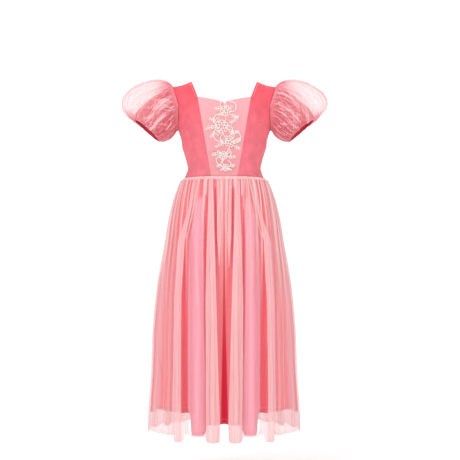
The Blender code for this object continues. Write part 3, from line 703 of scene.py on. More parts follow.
def makeBack():
    strapColumns, neckColumns = bodice["strapColumns"], bodice["neckColumns"]
    rows = []
    for level in bodiceLevels(bodice["lowerRows"], bodice["armStepDeg"]):
        height = float(heightOf(level, form["backNeckX"]))
        if height <= form["neckCornerHeight"]:
            share = (height - form["waist"]) / (form["neckCornerHeight"] - form["waist"])
            strapX = mix(form["backGuideX"], form["backNeckX"], share)
        else:
            strapX = strapEdgeX(height, form["backNeckX"])
        outer = math.pi - outerAngle(level)
        strap = math.pi - float(torsoAngle(strapX, level))
        overStrap = torsoPoint(np.linspace(outer, strap, strapColumns + 1), level)
        acrossNeck = torsoPoint(np.linspace(strap, math.pi, neckColumns + 1)[1:], level)
        if height > form["neckCornerHeight"] + form["seamGap"]:
            acrossNeck[:] = np.nan
        else:
            topShare = max(height - form["armpit"], 0.0) / (form["neckCornerHeight"] - form["armpit"])
            toMiddle = ease(np.arange(1, neckColumns + 1) / neckColumns)
            acrossNeck[:, 2] -= form["backScoop"] * toMiddle * topShare ** 2
        half = np.concatenate([overStrap, acrossNeck]) + np.array([0.0, form["seamGap"] / 2, 0.0])
        rows.append(np.concatenate([half, half[-2::-1] * otherSide]))
    flat = np.array(rows)
    relief = creaseField(np.nan_to_num(flat[..., 0]), np.nan_to_num(flat[..., 2]), bodice["backCreases"])
    relief += seamRoll(flat)
    filled = flat.copy()  # points above the neck stand on its edge while the normals are found
    for column in range(flat.shape[1]):
        missing = np.isnan(flat[:, column, 0])
        if missing.any():
            last = np.flatnonzero(~missing)[-1]
            rise = np.arange(1, missing.sum() + 1)[:, None] * np.array([0.0, 0.0, 2.0])
            filled[missing, column] = flat[last, column] + rise
    points = pushOut(filled, relief)
    points[np.isnan(flat)] = np.nan
    piece = addCloth("bodice_velvet_back", points, velvet, wall=bodiceCloth)
    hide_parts("bodice_back")
    return piece


def neckStitchPath(backSide):  # up a strap, a set way in from its neck edge
    points, outs = [], []
    cornerX = form["backNeckX"] if backSide else form["neckCornerX"]
    corner = float(levelOf(form["neckCornerHeight"], cornerX))
    for level in np.linspace(corner, form["shoulderTop"] - 0.05, 40):
        height = float(heightOf(level, cornerX))
        x = strapEdgeX(height, cornerX) + topStitch["fromEdge"]
        angle = float(torsoAngle(x, level))
        angle = math.pi - angle if backSide else angle
        out = torsoNormal(angle, level)
        points.append(torsoPoint(angle, level) + out * form["bodiceWall"])
        outs.append(out)
    return np.array(points), np.array(outs)


def backNeckStitchPath():  # across the back, below its scooped neck edge
    points, outs = [], []
    drop = topStitch["fromEdge"]
    for x in np.linspace(-form["backNeckX"] - drop, form["backNeckX"] + drop, 80):
        share = 1 - min(abs(x) / form["backNeckX"], 1.0)
        height = form["neckCornerHeight"] - drop - form["backScoop"] * float(ease(share))
        angle = math.pi - float(torsoAngle(abs(x), height))
        out = torsoNormal(angle, height)
        point = torsoPoint(angle, height) + out * form["bodiceWall"]
        points.append(point * np.array([math.copysign(1.0, x), 1.0, 1.0]))
        outs.append(out * np.array([math.copysign(1.0, x), 1.0, 1.0]))
    return np.array(points), np.array(outs)


def makeNeckStitches():
    lines = []
    for backSide in (False, True):
        points, outs = neckStitchPath(backSide)
        for side in (1.0, -1.0):
            flip = np.array([side, 1.0, 1.0])
            lines += stitchLines(points * flip, outs * flip, topStitch)
    lines += stitchLines(*backNeckStitchPath(), topStitch)
    piece = addTubes("neck_topstitching", lines, paleThread)
    return piece


makeSideFronts()
makeCentrePanel()
makeBack()
makeNeckStitches()
print("Bodice made")

# Lace spray on the centre panel: a fine net ground in the spray's outline, with cords couched
# along every petal, leaf, stem and curl. Flower rows: x, height, radius, petals, turn

lace = {
    "lift": 0.5, "merge": 0.25, "cord": 1.1, "thinCord": 0.85, "cordLift": 1.7, "stemWidth": 3.4,
    "stemBend": 5.0, "petalDepth": 0.30, "petalSpread": 0.86, "petalRoot": 0.34, "petalTip": 0.97,
    "rootShare": 0.6, "curlTip": 0.65, "cordStep": 0.9, "groundDensity": 0.26,
    "stalkStep": 5.0, "stalkBend": 0.16, "leafLean": 0.95, "leafReach": 6.4, "leafHalf": 2.1,
    "ringShare": 0.3, "curlKnotSteps": (9, 15), "curlKnotReach": 1.9,
    "stalkKnot": 1.5, "flowerKnot": 1.7, "curlKnot": 1.25, "eyeKnot": 1.9,
    "flowers": [
        (4.0, -82.0, 13.5, 6, 10.0), (-7.0, -122.0, 17.0, 6, 25.0), (14.0, -160.0, 13.0, 5, 0.0),
        (-3.0, -194.0, 11.0, 6, 15.0), (4.0, -225.0, 9.5, 5, 40.0),
    ],
    # flower, heading, turn, length, width
    "curls": [
        (0, 150.0, -170.0, 38.0, 2.8), (0, -15.0, 200.0, 46.0, 2.8), (1, 160.0, -205.0, 50.0, 2.8),
        (1, 205.0, 185.0, 54.0, 2.8), (1, 15.0, -215.0, 52.0, 2.8), (2, -15.0, 185.0, 46.0, 2.6),
        (2, 200.0, -175.0, 36.0, 2.6), (3, 190.0, 175.0, 34.0, 2.6), (3, -20.0, 175.0, 30.0, 2.6),
        (4, 165.0, -160.0, 24.0, 2.4), (4, 15.0, 160.0, 24.0, 2.4),
    ],
    # sprigs of small leaves between the flowers: x, height, heading, length
    "sprigs": [
        (-6.0, -78.0, 165.0, 15.0), (14.0, -90.0, -35.0, 21.0), (-18.0, -112.0, 140.0, 19.0),
        (-22.0, -123.0, 178.0, 24.0), (-18.0, -134.0, 212.0, 19.0), (9.0, -114.0, 15.0, 27.0),
        (9.0, -131.0, -28.0, 26.0), (26.0, -155.0, 5.0, 12.0), (23.0, -168.0, -38.0, 15.0),
        (3.0, -163.0, 186.0, 24.0), (-13.0, -192.0, 165.0, 15.0), (7.0, -197.0, -8.0, 18.0),
        (-4.0, -222.0, 165.0, 12.0), (12.0, -222.0, 8.0, 11.0),
    ],
    # flower, heading, length, width
    "leaves": [
        (0, 215.0, 15.0, 6.0), (0, 95.0, 12.0, 5.5), (0, 35.0, 12.0, 5.5), (1, 115.0, 15.0, 6.0),
        (1, 182.0, 17.0, 6.5), (1, 245.0, 15.0, 6.0), (1, -15.0, 14.0, 6.0), (2, 60.0, 14.0, 6.0),
        (2, 12.0, 14.0, 5.5), (2, 165.0, 14.0, 6.0), (3, 30.0, 13.0, 5.5), (3, 140.0, 12.0, 5.0),
        (4, -25.0, 10.0, 4.5), (4, 205.0, 10.0, 4.5),
    ],
}


def onPanel(x, height, lift):  # a place on the panel's outer face and the way out of it there
    level = float(levelOf(height, abs(x)))
    angle = float(torsoAngle(abs(x), level))
    out = torsoNormal(angle, level)
    point = halfGap(torsoPoint(angle, level)) + out * (form["bodiceWall"] + lift)
    flip = np.array([math.copysign(1.0, x), 1.0, 1.0])
    return point * flip, out * flip


def offset(x, height, heading, along, across=0.0):  # a place along and across a heading
    return (x + along * math.cos(heading) - across * math.sin(heading),
            height + along * math.sin(heading) + across * math.cos(heading))


def rootOf(flowerNumber, headingDeg):
    x, height, radius, _, _ = lace["flowers"][flowerNumber]
    heading = math.radians(headingDeg)
    return *offset(x, height, heading, radius * lace["rootShare"]), heading


def flowerOutline(flower, steps):
    x, height, radius, petals, turnDeg = flower
    outline = []
    for step in range(steps):
        turn = 2 * math.pi * step / steps
        lobe = 1 - lace["petalDepth"] * (0.5 - 0.5 * math.cos(petals * turn))
        outline.append(offset(x, height, turn + math.radians(turnDeg), radius * lobe))
    return outline


def petalLoop(flower, petal):  # one petal's outline, from the flower's ring and back
    x, height, radius, petals, turnDeg = flower
    middle = math.radians(turnDeg) + 2 * math.pi * petal / petals
    halfWidth = lace["petalSpread"] * math.pi / petals
    loop = []
    for share in np.linspace(0.0, 1.0, 17):
        heading = middle + math.sin(2 * math.pi * share) * halfWidth * 0.9
        reach = radius * mix(lace["petalRoot"], lace["petalTip"], math.sin(math.pi * share) ** 0.7)
        loop.append(offset(x, height, heading, reach))
    return loop


def curlLine(curl, steps):
    flower, headingDeg, turnDeg, length, width = curl
    x, height, heading = rootOf(flower, headingDeg)
    line = []
    for step in range(steps + 1):
        share = step / steps
        line.append((x, height, heading, width * mix(1.0, lace["curlTip"], share)))
        x, height = offset(x, height, heading, length / steps)
        heading += math.radians(turnDeg) / steps
    return line


def stemLine(upper, lower, bend, steps):
    start, end = Vector(upper[:2]), Vector(lower[:2])
    way = end - start
    side = Vector((-way.y, way.x)).normalized() * bend
    line = []
    for share in np.linspace(0.2, 0.8, steps + 1):
        place = start + way * float(share) + side * math.sin(math.pi * share)
        heading = math.atan2(way.y, way.x) + math.cos(math.pi * share) * bend / way.length
        line.append((place.x, place.y, heading, lace["stemWidth"]))
    return line


def bandOutline(line):
    left = [offset(x, height, heading, 0.0, width / 2) for x, height, heading, width in line]
    right = [offset(x, height, heading, 0.0, -width / 2) for x, height, heading, width in line]
    return right + left[::-1]


def leafOutline(leaf, steps):
    flower, headingDeg, length, width = leaf
    x, height, heading = rootOf(flower, headingDeg)
    outline = []
    for step in range(steps):
        turn = 2 * math.pi * step / steps
        along = length / 2 * (1 + math.cos(turn))
        across = width / 2 * math.sin(turn)
        outline.append(offset(x, height, heading, along, across))
    return outline


def cordLine(path, radius, lift, closed=False, taper=False):
    path = list(path) + ([path[0]] if closed else [])
    flat = np.array([(x, height) for x, height in path])
    steps = np.concatenate([[0.0], np.cumsum(np.linalg.norm(np.diff(flat, axis=0), axis=1))])
    count = max(int(steps[-1] / lace["cordStep"]), 6)
    at = np.linspace(0.0, steps[-1], count)
    xs, heights = np.interp(at, steps, flat[:, 0]), np.interp(at, steps, flat[:, 1])
    placed = [onPanel(float(x), float(height), lift) for x, height in zip(xs, heights)]
    radii = np.full(count, radius)
    if taper:
        radii = radius * np.minimum(1.0, 0.45 + 0.55 * np.sin(np.pi * np.linspace(0.12, 0.9, count)) ** 0.5)
    return [p for p, _ in placed], [o for _, o in placed], radii


def knots(places, radius, lift):  # small wound knots, each a short fat turn of cord
    lines = []
    for x, height in places:
        line = [(x - radius * 0.5, height), (x, height + radius * 0.15), (x + radius * 0.5, height)]
        points, outs, _ = cordLine(line, radius, lift)
        lines.append((points, outs, radius * np.sin(np.pi * np.linspace(0.18, 0.82, len(points)))))
    return lines


def sprigLines(x, height, heading, length):  # a curving stalk with leaf loops to both sides
    lift, lines, stalk = lace["cordLift"], [], []
    steps = max(int(length / lace["stalkStep"]), 2)
    for step in range(steps + 1):
        stalk.append((x, height))
        if step:
            for side in (1.0, -1.0):
                lean = heading + side * lace["leafLean"]
                reach = lace["leafReach"] * (1.05 - 0.40 * step / steps)
                loop = []
                for turn in np.linspace(0.0, 2 * math.pi, 11):
                    along = reach * (0.5 - 0.5 * math.cos(turn))
                    across = lace["leafHalf"] * math.sin(turn)
                    loop.append(offset(x, height, lean, along, across))
                lines.append(cordLine(loop, lace["thinCord"] * 0.85, lift))
        x, height = offset(x, height, heading, length / steps)
        heading += lace["stalkBend"]
    lines.append(cordLine(stalk, lace["thinCord"], lift, taper=True))
    return lines + knots([stalk[-1]], lace["stalkKnot"], lift)


def makeLaceGround(stems):
    outlines = [flowerOutline(flower, flower[3] * 8) for flower in lace["flowers"]]
    outlines += [bandOutline(curlLine(curl, 14)) for curl in lace["curls"]]
    outlines += [leafOutline(leaf, 14) for leaf in lace["leaves"]]
    outlines += [bandOutline(stem) for stem in stems]
    points = [Vector(point) for outline in outlines for point in outline]
    faces, start = [], 0
    for outline in outlines:
        faces.append(list(range(start, start + len(outline))))
        start += len(outline)
    flat, _, triangles, _, _, _ = delaunay_2d_cdt(points, [], faces, 1, lace["merge"])
    built = bmesh.new()
    verts = [built.verts.new(Vector(onPanel(p.x, p.y, lace["lift"])[0]) * mm) for p in flat]
    for triangle in triangles:
        built.faces.new([verts[index] for index in triangle])
    bmesh.ops.delete(built, geom=[v for v in built.verts if not v.link_faces], context="VERTS")
    uvLayer = built.loops.layers.uv.new("Cloth")
    shade = built.loops.layers.color.new("Folds")
    for face in built.faces:
        for loop in face.loops:
            loop[uvLayer].uv = (loop.vert.co.x, loop.vert.co.z)
            loop[shade] = (lace["groundDensity"], 0.0, 0.0, 1.0)
    mesh = bpy.data.meshes.new("lace_ground")
    built.to_mesh(mesh)
    built.free()
    ground = addPiece("lace_ground", mesh, laceGround)
    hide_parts("lace_applique")
    return ground


def makeLaceCords(stems):
    lines, lift = [], lace["cordLift"]
    for flower in lace["flowers"]:
        for petal in range(flower[3]):
            lines.append(cordLine(petalLoop(flower, petal), lace["cord"], lift))
        x, height, radius = flower[:3]
        inner = radius * lace["ringShare"]
        turns = np.linspace(0, 2 * math.pi, 14)
        ring = [offset(x, height, turn, inner) for turn in turns]
        lines.append(cordLine(ring, lace["cord"], lift + 0.3))
        lines += knots([(x, height)], lace["flowerKnot"], lift + 0.4)
    for curl in lace["curls"]:
        line = curlLine(curl, 24)
        lines.append(cordLine([(x, z) for x, z, _, _ in line], curl[4] / 2, lift, taper=True))
        # knots sit on the outer side of the curl, two of them, and one in its eye
        side = -math.copysign(1.0, curl[2])
        dots = []
        for step in lace["curlKnotSteps"]:
            x, z, heading, width = line[step]
            reach = (width / 2 + lace["curlKnotReach"]) * side
            dots.append(offset(x, z, heading, 0.0, reach))
        lines += knots(dots, lace["curlKnot"], lift)
        lines += knots([line[-1][:2]], lace["eyeKnot"], lift)
    for x, height, headingDeg, length in lace["sprigs"]:
        lines += sprigLines(x, height, math.radians(headingDeg), length)
    for leaf in lace["leaves"]:
        lines.append(cordLine(leafOutline(leaf, 18), lace["thinCord"], lift, closed=True))
        x, height, heading = rootOf(leaf[0], leaf[1])
        tip = offset(x, height, heading, leaf[2] * 0.85)
        lines.append(cordLine([(x, height), tip], lace["thinCord"] * 0.8, lift, taper=True))
    for stem in stems:
        lines.append(cordLine([(x, z) for x, z, _, _ in stem], lace["cord"], lift))
    cords = addTubes("lace_cords", lines, laceCord, sides=7, flatten=0.8)
    return cords


stems = [
    stemLine(upper, lower, lace["stemBend"] * (-1) ** number, 8)
    for number, (upper, lower) in enumerate(zip(lace["flowers"], lace["flowers"][1:]))
]
laceGroundPiece, laceCords = makeLaceGround(stems), makeLaceCords(stems)
print("Lace made")

# Sleeves. Swell rows: angle round the arm from the top, then how far the cloth swells as it
# leaves the armhole and as it comes back to the cuff

sleeve = {
    "cuffX": 202.0, "cuffZ": -120.0, "cuffRadius": 40.0, "cuffTiltDeg": 49.0, "turnIn": 3.0,
    "wall": 1.0, "underWall": 0.8, "cuffHem": 8.0, "puckers": 26, "puckerDepth": 0.5, "puckerReach": 5.0,
    "easedFolds": 19, "easedDepth": 0.6, "easedReach": 16.0,
    "base": [(0, 26.0, -9.0, 27.0, -9.0), (90, 26.0, 4.0, 14.0, -5.0), (180, 5.0, 5.0, 8.0, -5.0)],
    "net": [(0, 26.0, 49.0, 134.0, 25.0), (90, 28.0, 26.0, 56.0, 4.0), (180, 4.0, 15.0, 19.0, -8.0)],
    "netColumns": 560, "netRows": 66, "baseColumns": 96, "baseRows": 30,
    "gathers": 58, "gatherDepth": 3.8, "fineGathers": 110, "fineDepth": 1.7,
    "crumples": 520, "crumpleDepth": 1.4, "crumpleSlopeDeg": 30.0, "crumpleLength": (0.12, 0.42),
    "crumpleWidth": (0.0038, 0.0075), "cuffLift": 5.0, "tighten": 4.5, "billow": 2.2, "ridgeCap": 6.5,
    "seamPlainDeg": 3.0, "belowReachDeg": 48.0, "belowCalm": 0.55,
    "cloudFrom": 12.0, "cloudClear": 30.0, "cloudDensity": 0.30,
    # how far from the seams the net bunches, in shares of its length, and what counts as a ridge
    "armholeBunch": 0.10, "cuffBunch": 0.07, "ridgeFull": 4.2, "crumpleShows": 0.62,
    # the share of the net's density in the troughs and on the ridges: near the arm, then in the haze
    "troughShare": (0.52, 0.92), "ridgeShare": (1.70, 1.25),
    "nearDensity": 0.52, "seamDensity": 0.80, "underDensity": 0.80,
    "blushDensity": 0.66, "blushRise": 3.0, "blushReach": 17.0, "blushWander": 5.0,
}
cuffStitch = {"pitch": 3.4, "length": 2.4, "radius": 0.35, "lift": 0.15}


def armholePoint(turnDeg):
    level = float(armholeLevel(turnDeg))
    angle = outerAngle(level)
    if turnDeg % 360 > 180:
        angle = math.pi - angle
    out = torsoNormal(angle, level)
    return torsoPoint(angle, level) + out * (form["bodiceWall"] + form["seamGap"])


def swellOf(rows, column, turnDeg):
    turn = turnDeg % 360
    turn = turn if turn <= 180 else 360 - turn
    low, high = rows[:2] if turn <= 90 else rows[1:]
    return mix(low[column], high[column], float(ease((turn - low[0]) / 90)))


def sleevePoints(rows, layerOut, turnsDeg, alongs):
    tilt = math.radians(sleeve["cuffTiltDeg"])
    cuffUp = np.array([math.sin(tilt), 0.0, math.cos(tilt)])
    cuffOut = np.array([math.cos(tilt), 0.0, -math.sin(tilt)])
    centre = np.array([sleeve["cuffX"], 0.0, sleeve["cuffZ"]])
    columns = []
    for turnDeg in turnsDeg:
        turn = math.radians(turnDeg)
        roundArm = np.array([0.0, -math.sin(turn), math.cos(turn)])
        roundCuff = cuffUp * math.cos(turn) + np.array([0.0, -math.sin(turn), 0.0])
        seam = armholePoint(turnDeg) + roundArm * layerOut
        start = seam + np.array([sleeve["turnIn"], 0.0, 0.0])
        end = centre + roundCuff * (sleeve["cuffRadius"] + layerOut)
        leave = start + np.array([swellOf(rows, 1, turnDeg), 0.0, 0.0]) + roundArm * swellOf(rows, 2, turnDeg)
        arrive = end + roundCuff * swellOf(rows, 3, turnDeg) + cuffOut * swellOf(rows, 4, turnDeg)
        t = np.clip(alongs, 0.0, 1.0)[:, None]
        # the front of the cuff sits a little higher than its back, so that its inside shows
        lift = sleeve["cuffLift"] * max(math.sin(turn), 0.0)
        end = end - cuffOut * lift
        arrive = arrive - cuffOut * lift
        curve = (
            start * (1 - t) ** 3 + leave * 3 * (1 - t) ** 2 * t
            + arrive * 3 * (1 - t) * t ** 2 + end * t ** 3
        )
        curve[alongs < 0] = seam
        columns.append(curve)
    # Rows run from the armhole out to the cuff, and columns round the arm
    return np.stack(columns, axis=1)


def makeUnderSleeve(side):
    turns = np.linspace(180.0, 540.0, sleeve["baseColumns"] + 1)
    alongs = np.concatenate([[-1.0], np.linspace(0.0, 1.0, sleeve["baseRows"])])
    points = sleevePoints(sleeve["base"], 0.0, turns, alongs)
    fromSeam, fromCuff = walked(points, 0), walked(points[::-1], 0)[::-1]
    # puckers along the cuff's hem, and eased cloth along the armhole
    around = np.radians(turns)[None, :]
    pucker = np.sin(around * sleeve["puckers"] + 0.8 * np.sin(around * 3))
    nearHem = np.exp(-((fromCuff - sleeve["cuffHem"]) / sleeve["puckerReach"]) ** 2)
    relief = sleeve["puckerDepth"] * pucker * nearHem
    eased = sleeve["easedDepth"] * np.sin(around * sleeve["easedFolds"])
    relief += eased * np.exp(-(fromSeam / sleeve["easedReach"]) ** 2)
    relief[:2] = 0.0
    points = pushOut(points, relief)
    points = mirrored(points) if side == "right" else points
    piece = addCloth("under_sleeve_" + side, points, underSleeveCloth, wall=sleeve["underWall"])
    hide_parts("sleeve_base_" + side)
    return piece


def ridges(across, along, table):
    # Soft ridges that run along the cloth. Rows: middle, half width, height, start, end, drift
    total = np.zeros(np.broadcast(across, along).shape)
    for middle, halfWidth, height, start, end, drift in table:
        centre = middle + drift * along
        shape = np.exp(-np.abs((across - centre) / halfWidth) ** 2.6)
        fade = ease((along - start + 0.08) / 0.12) * ease((end - along) / 0.2)
        total += height * shape * fade
    return total


def crumpleField(turnGrid, alongGrid, draw):
    # Short creases that run along the puff, each at its own slant, as squashed net takes
    total = np.zeros(turnGrid.shape)
    for _ in range(sleeve["crumples"]):
        middleTurn, middleAlong = draw.uniform(185.0, 535.0), draw.uniform(0.12, 0.95)
        slope = math.radians(draw.uniform(-sleeve["crumpleSlopeDeg"], sleeve["crumpleSlopeDeg"]))
        length, width = draw.uniform(*sleeve["crumpleLength"]), draw.uniform(*sleeve["crumpleWidth"])
        # turns are scaled so that both ways run in shares of the sleeve's length
        dx, dz = (turnGrid - middleTurn) / 200.0, alongGrid - middleAlong
        along = (dz * math.cos(slope) + dx * math.sin(slope)) / (length / 2)
        across = -dz * math.sin(slope) + dx * math.cos(slope) + 0.02 * along ** 2
        total += draw.choice([1.0, 1.0, -0.6]) * np.exp(-(across / width) ** 2) * np.exp(-along ** 4)
    return total


def puffGathers(draw):  # tables for ridges: long gathers, then fine ones from one seam or the other
    step = 360.0 / sleeve["gathers"]
    big, fine = [], []
    for number in range(-3, sleeve["gathers"] + 4):
        middle = 180.0 + step * (number + draw.uniform(-0.35, 0.35))
        big.append((
            middle, step * draw.uniform(0.20, 0.36), sleeve["gatherDepth"] * draw.uniform(0.45, 1.0),
            draw.choice([-0.2, -0.2, 0.05]), draw.choice([0.6, 0.85, 1.2, 1.2]), draw.uniform(-14, 14),
        ))
    fineStep = 360.0 / sleeve["fineGathers"]
    for number in range(-3, sleeve["fineGathers"] + 4):
        middle = 180.0 + fineStep * (number + draw.uniform(-0.4, 0.4))
        atCuff = draw.random() < 0.5
        fine.append((middle, fineStep * draw.uniform(0.25, 0.4), sleeve["fineDepth"] * draw.uniform(0.4, 1.0),
                     draw.uniform(0.5, 0.8) if atCuff else -0.2, 1.3 if atCuff else draw.uniform(0.3, 0.6),
                     draw.uniform(-10, 10)))
    return big, fine


def makePuff(side):
    draw = random.Random(11 if side == "left" else 23)
    turns = np.linspace(180.0, 540.0, sleeve["netColumns"] + 1)
    alongs = np.concatenate([[-1.0], np.linspace(0.0, 1.0, sleeve["netRows"])])
    layer = sleeve["wall"] + form["seamGap"] + 0.5
    points = sleevePoints(sleeve["net"], layer, turns, alongs)
    under = sleevePoints(sleeve["base"], 0.0, turns, alongs)
    turnGrid, alongGrid = np.meshgrid(turns, np.maximum(alongs, 0.0))
    big, fine = puffGathers(draw)
    full = np.sin(np.pi * alongGrid) ** 0.5
    fromUnderarm = np.minimum(np.abs(turnGrid - 180.0), np.abs(540.0 - turnGrid))
    seamFade = ease(fromUnderarm / sleeve["seamPlainDeg"])
    high = ridges(turnGrid, alongGrid, big) * mix(0.25, 1.0, full) * seamFade
    low = ridges(turnGrid, alongGrid, fine) * seamFade
    swell = np.sin(np.radians(turnGrid) * 5 + 6 * alongGrid)
    billow = sleeve["billow"] * swell * np.sin(np.pi * alongGrid) * seamFade
    crumple = crumpleField(turnGrid, alongGrid, draw) * seamFade * ease(alongGrid / 0.1)
    relief = np.minimum(high, sleeve["ridgeCap"]) + low + billow
    relief = relief + sleeve["crumpleDepth"] * np.clip(crumple, -1.0, 1.4)
    below = np.exp(-(fromUnderarm / sleeve["belowReachDeg"]) ** 2)
    relief = relief * (1 - sleeve["belowCalm"] * below) - sleeve["tighten"] * full * seamFade
    relief[0] = 0.0
    moved = pushOut(points, relief)
    # Where the net stands clear of the under-sleeve it is a thin haze, and near the seams it bunches
    clear = np.linalg.norm(points - under, axis=-1)
    cloud = ease((clear - sleeve["cloudFrom"]) / sleeve["cloudClear"])
    seam = np.exp(-(alongGrid / sleeve["armholeBunch"]) ** 2)
    seam += np.exp(-((1 - alongGrid) / sleeve["cuffBunch"]) ** 2)
    crumpled = sleeve["crumpleShows"] * np.clip(crumple, -0.5, 1.2)
    onRidge = np.clip((high + low) / sleeve["ridgeFull"] + crumpled, 0.0, 1.3)
    trough, ridge = mix(*sleeve["troughShare"], cloud), mix(*sleeve["ridgeShare"], cloud)
    density = mix(sleeve["nearDensity"], sleeve["cloudDensity"], cloud) * mix(trough, ridge, onRidge)
    density = mix(density, sleeve["seamDensity"], np.clip(seam, 0.0, 1.0) * 0.85)
    density = np.maximum(density, sleeve["underDensity"] * below)
    # Net gathers along the top of the under-sleeve, so that its edge melts into the haze
    top = under[1:, len(turns) // 2]
    above = points[..., 2] - np.interp(points[..., 0], top[:, 0], top[:, 2]) + sleeve["blushWander"] * crumple
    blush = np.exp(-((above - sleeve["blushRise"]) / sleeve["blushReach"]) ** 2) * (1 - 0.5 * onRidge)
    density = mix(density, np.maximum(density, sleeve["blushDensity"]), blush)
    # The net's deeper tint: darker pink near the arm and along the under-sleeve's top edge, paler on ridges,
    # and on the puff's underside painted shade
    pinkAndUndersideShade = np.clip(1 - cloud - 0.55 * onRidge + below + 0.55 * blush, 0.0, 1.0)
    folds = np.stack([np.clip(density, 0.0, 0.95), pinkAndUndersideShade], axis=-1)
    if side == "right":
        moved, folds = mirrored(moved), folds[:, ::-1]
    piece = addCloth("net_puff_" + side, moved, sleeveNet, folds=folds)
    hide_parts("sleeve_net_" + side)
    return piece


def makeCuffStitches(side):
    turns = np.linspace(180.0, 540.0, 120)
    alongs = np.linspace(0.0, 1.0, 41)
    points = sleevePoints(sleeve["base"], 0.0, turns, alongs)
    row = points[-1] + (points[-5] - points[-1]) * 0.9
    inward = np.array([sleeve["cuffX"], 0.0, sleeve["cuffZ"]]) - points[-1]
    inward /= np.linalg.norm(inward, axis=1, keepdims=True)
    if side == "right":
        row, inward = row * otherSide, inward * otherSide
    lines = stitchLines(row, inward, cuffStitch)
    piece = addTubes("cuff_stitching_" + side, lines, coralThread)
    return piece


for side in ("left", "right"):
    makeUnderSleeve(side)
    puff = makePuff(side)
    makeCuffStitches(side)
print("Sleeves made")

# Skirt

# The photo's camera, in metres and degrees
view = {"distance": 2.6, "height": -0.4966, "tiltDeg": 2.58, "panDeg": -0.33, "lens": 78.26}

skirt = {
    "top": -246.3, "netHem": -902.0, "clearance": 4.0, "clearWithin": 10.0, "wall": 1.0,
    "foldsFullAt": 0.45, "slitWaistDeg": 0.05, "slitHemDeg": 3.4, "slitPower": 2.1,
    "netColumnsPerFold": 30, "netRows": 88, "liningColumnsPerFold": 16, "liningRows": 64,
    "rowPower": 1.5, "plainEnd": 0.25, "waverSeen": 1.6, "waverFolds": 0.07,
    "gathers": 17, "gatherLength": 0.75, "gatherOut": 2.2, "fineGathers": 46, "fineLength": 0.22,
    "fineOut": 1.0, "rippleOut": 0.8, "headingMiddle": 4.0, "headingReach": 4.2, "headingOut": 1.8,
    # how soft the bands' edges are, in mm as seen and in folds
    "pleatEdge": 1.8, "foldPleatEdge": 0.14, "lobeEdge": 5.0, "gapEdge": 4.0,
    # the net's density where it is plain, over the lobes and below the lining; its loss in the gaps
    "thinNet": 0.20, "lobeNet": 0.16, "aloneNet": 0.60, "gapThins": 0.62,
    # what crowding, gathers, rims and the heading add to it; the sides start sideFrom mm across
    "waistCrowding": 0.12, "sideCrowding": 0.30, "sideNet": 0.14, "sideFrom": 118.0, "sideBlend": 24.0,
    "gatherCover": 0.56, "fineCover": 0.40, "rimCover": 0.10, "headingCover": 0.94,
    "netLength": 650.0, "edgeLine": 1.6,
    # the red half widths: how far the painted red shade in the centre-front valley spreads to each side at
    # its widest
    "redShadeHalfWidths": (5.0, 11.0), "bandStart": 12.0, "bandEnd": 20.0, "bandNarrows": 90.0,
    "bandCrease": 0.22, "hemStitchUp": 12.0, "liningWall": 0.7,
}
hemStitch = {"pitch": 3.8, "length": 2.7, "radius": 0.32, "lift": 0.1}
skirtRings = {
    "height": [-902.0, -837.0, -754.0, -629.0, -546.0, -504.0, -421.0, -338.0, -296.0, -276.0,
               -260.0, -252.0, -248.3, -246.3],
    "halfWidth": [191.5, 189.5, 184.0, 179.5, 172.0, 166.5, 151.0, 136.0, 124.5, 117.0,
                  111.0, 106.5, 102.5, 102.5],
    "halfDepth": [172.0, 169.0, 163.0, 155.0, 146.0, 140.0, 124.0, 108.0, 98.0, 92.0,
                  86.0, 82.0, 79.0, 79.0],
}
foldColumns = ("waistDeg", "hemDeg", "liningOut", "netOut", "liningHem", "netHem")
frontFolds = np.array([
    (0.0, 0.0, -28.0, -6.0, -864.0, -900.0),  # centre valley
    (15.0, 8.0, -6.0, 6.0, -868.0, -902.0),  # inner net fold
    (22.5, 13.0, -11.0, -7.0, -878.0, -894.0),  # slot
    (30.5, 20.0, 3.0, 3.0, -887.0, -889.0),  # broad lobe
    (46.0, 29.5, -18.0, -9.0, -852.0, -888.0),  # deep valley
    (53.5, 35.0, -5.0, 6.0, -850.0, -908.0),  # outer net fold
    (60.0, 41.0, -10.0, -6.0, -848.0, -892.0),
    (66.0, 47.5, 0.0, 1.0, -848.0, -898.0),  # side folds from here
    (72.0, 54.0, -8.0, -5.0, -848.0, -893.0),
    (78.0, 62.0, 0.0, 0.0, -848.0, -897.0),
    (84.0, 75.0, -6.0, -4.0, -848.0, -892.0),
    (90.0, 90.0, 0.0, 0.0, -848.0, -896.0),  # side seam
])
backFolds = np.array([
    (90.0, 90.0, 0.0, 0.0, -848.0, -896.0),
    (96.5, 103.0, -7.0, -5.0, -848.0, -892.0),
    (103.0, 113.0, 1.0, 2.0, -850.0, -899.0),
    (111.0, 121.0, -13.0, -8.0, -850.0, -891.0),
    (119.0, 129.0, -1.0, 4.0, -856.0, -902.0),
    (127.0, 136.5, -9.0, -6.0, -858.0, -893.0),
    (134.0, 144.0, 2.0, 3.0, -862.0, -897.0),
    (143.0, 151.5, -15.0, -9.0, -856.0, -890.0),
    (151.0, 158.0, 0.0, 5.0, -860.0, -902.0),
    (159.0, 164.5, -9.0, -7.0, -862.0, -893.0),
    (167.5, 171.5, 2.0, 3.0, -866.0, -899.0),
    (180.0, 180.0, -17.0, -10.0, -856.0, -892.0),  # centre back valley
])
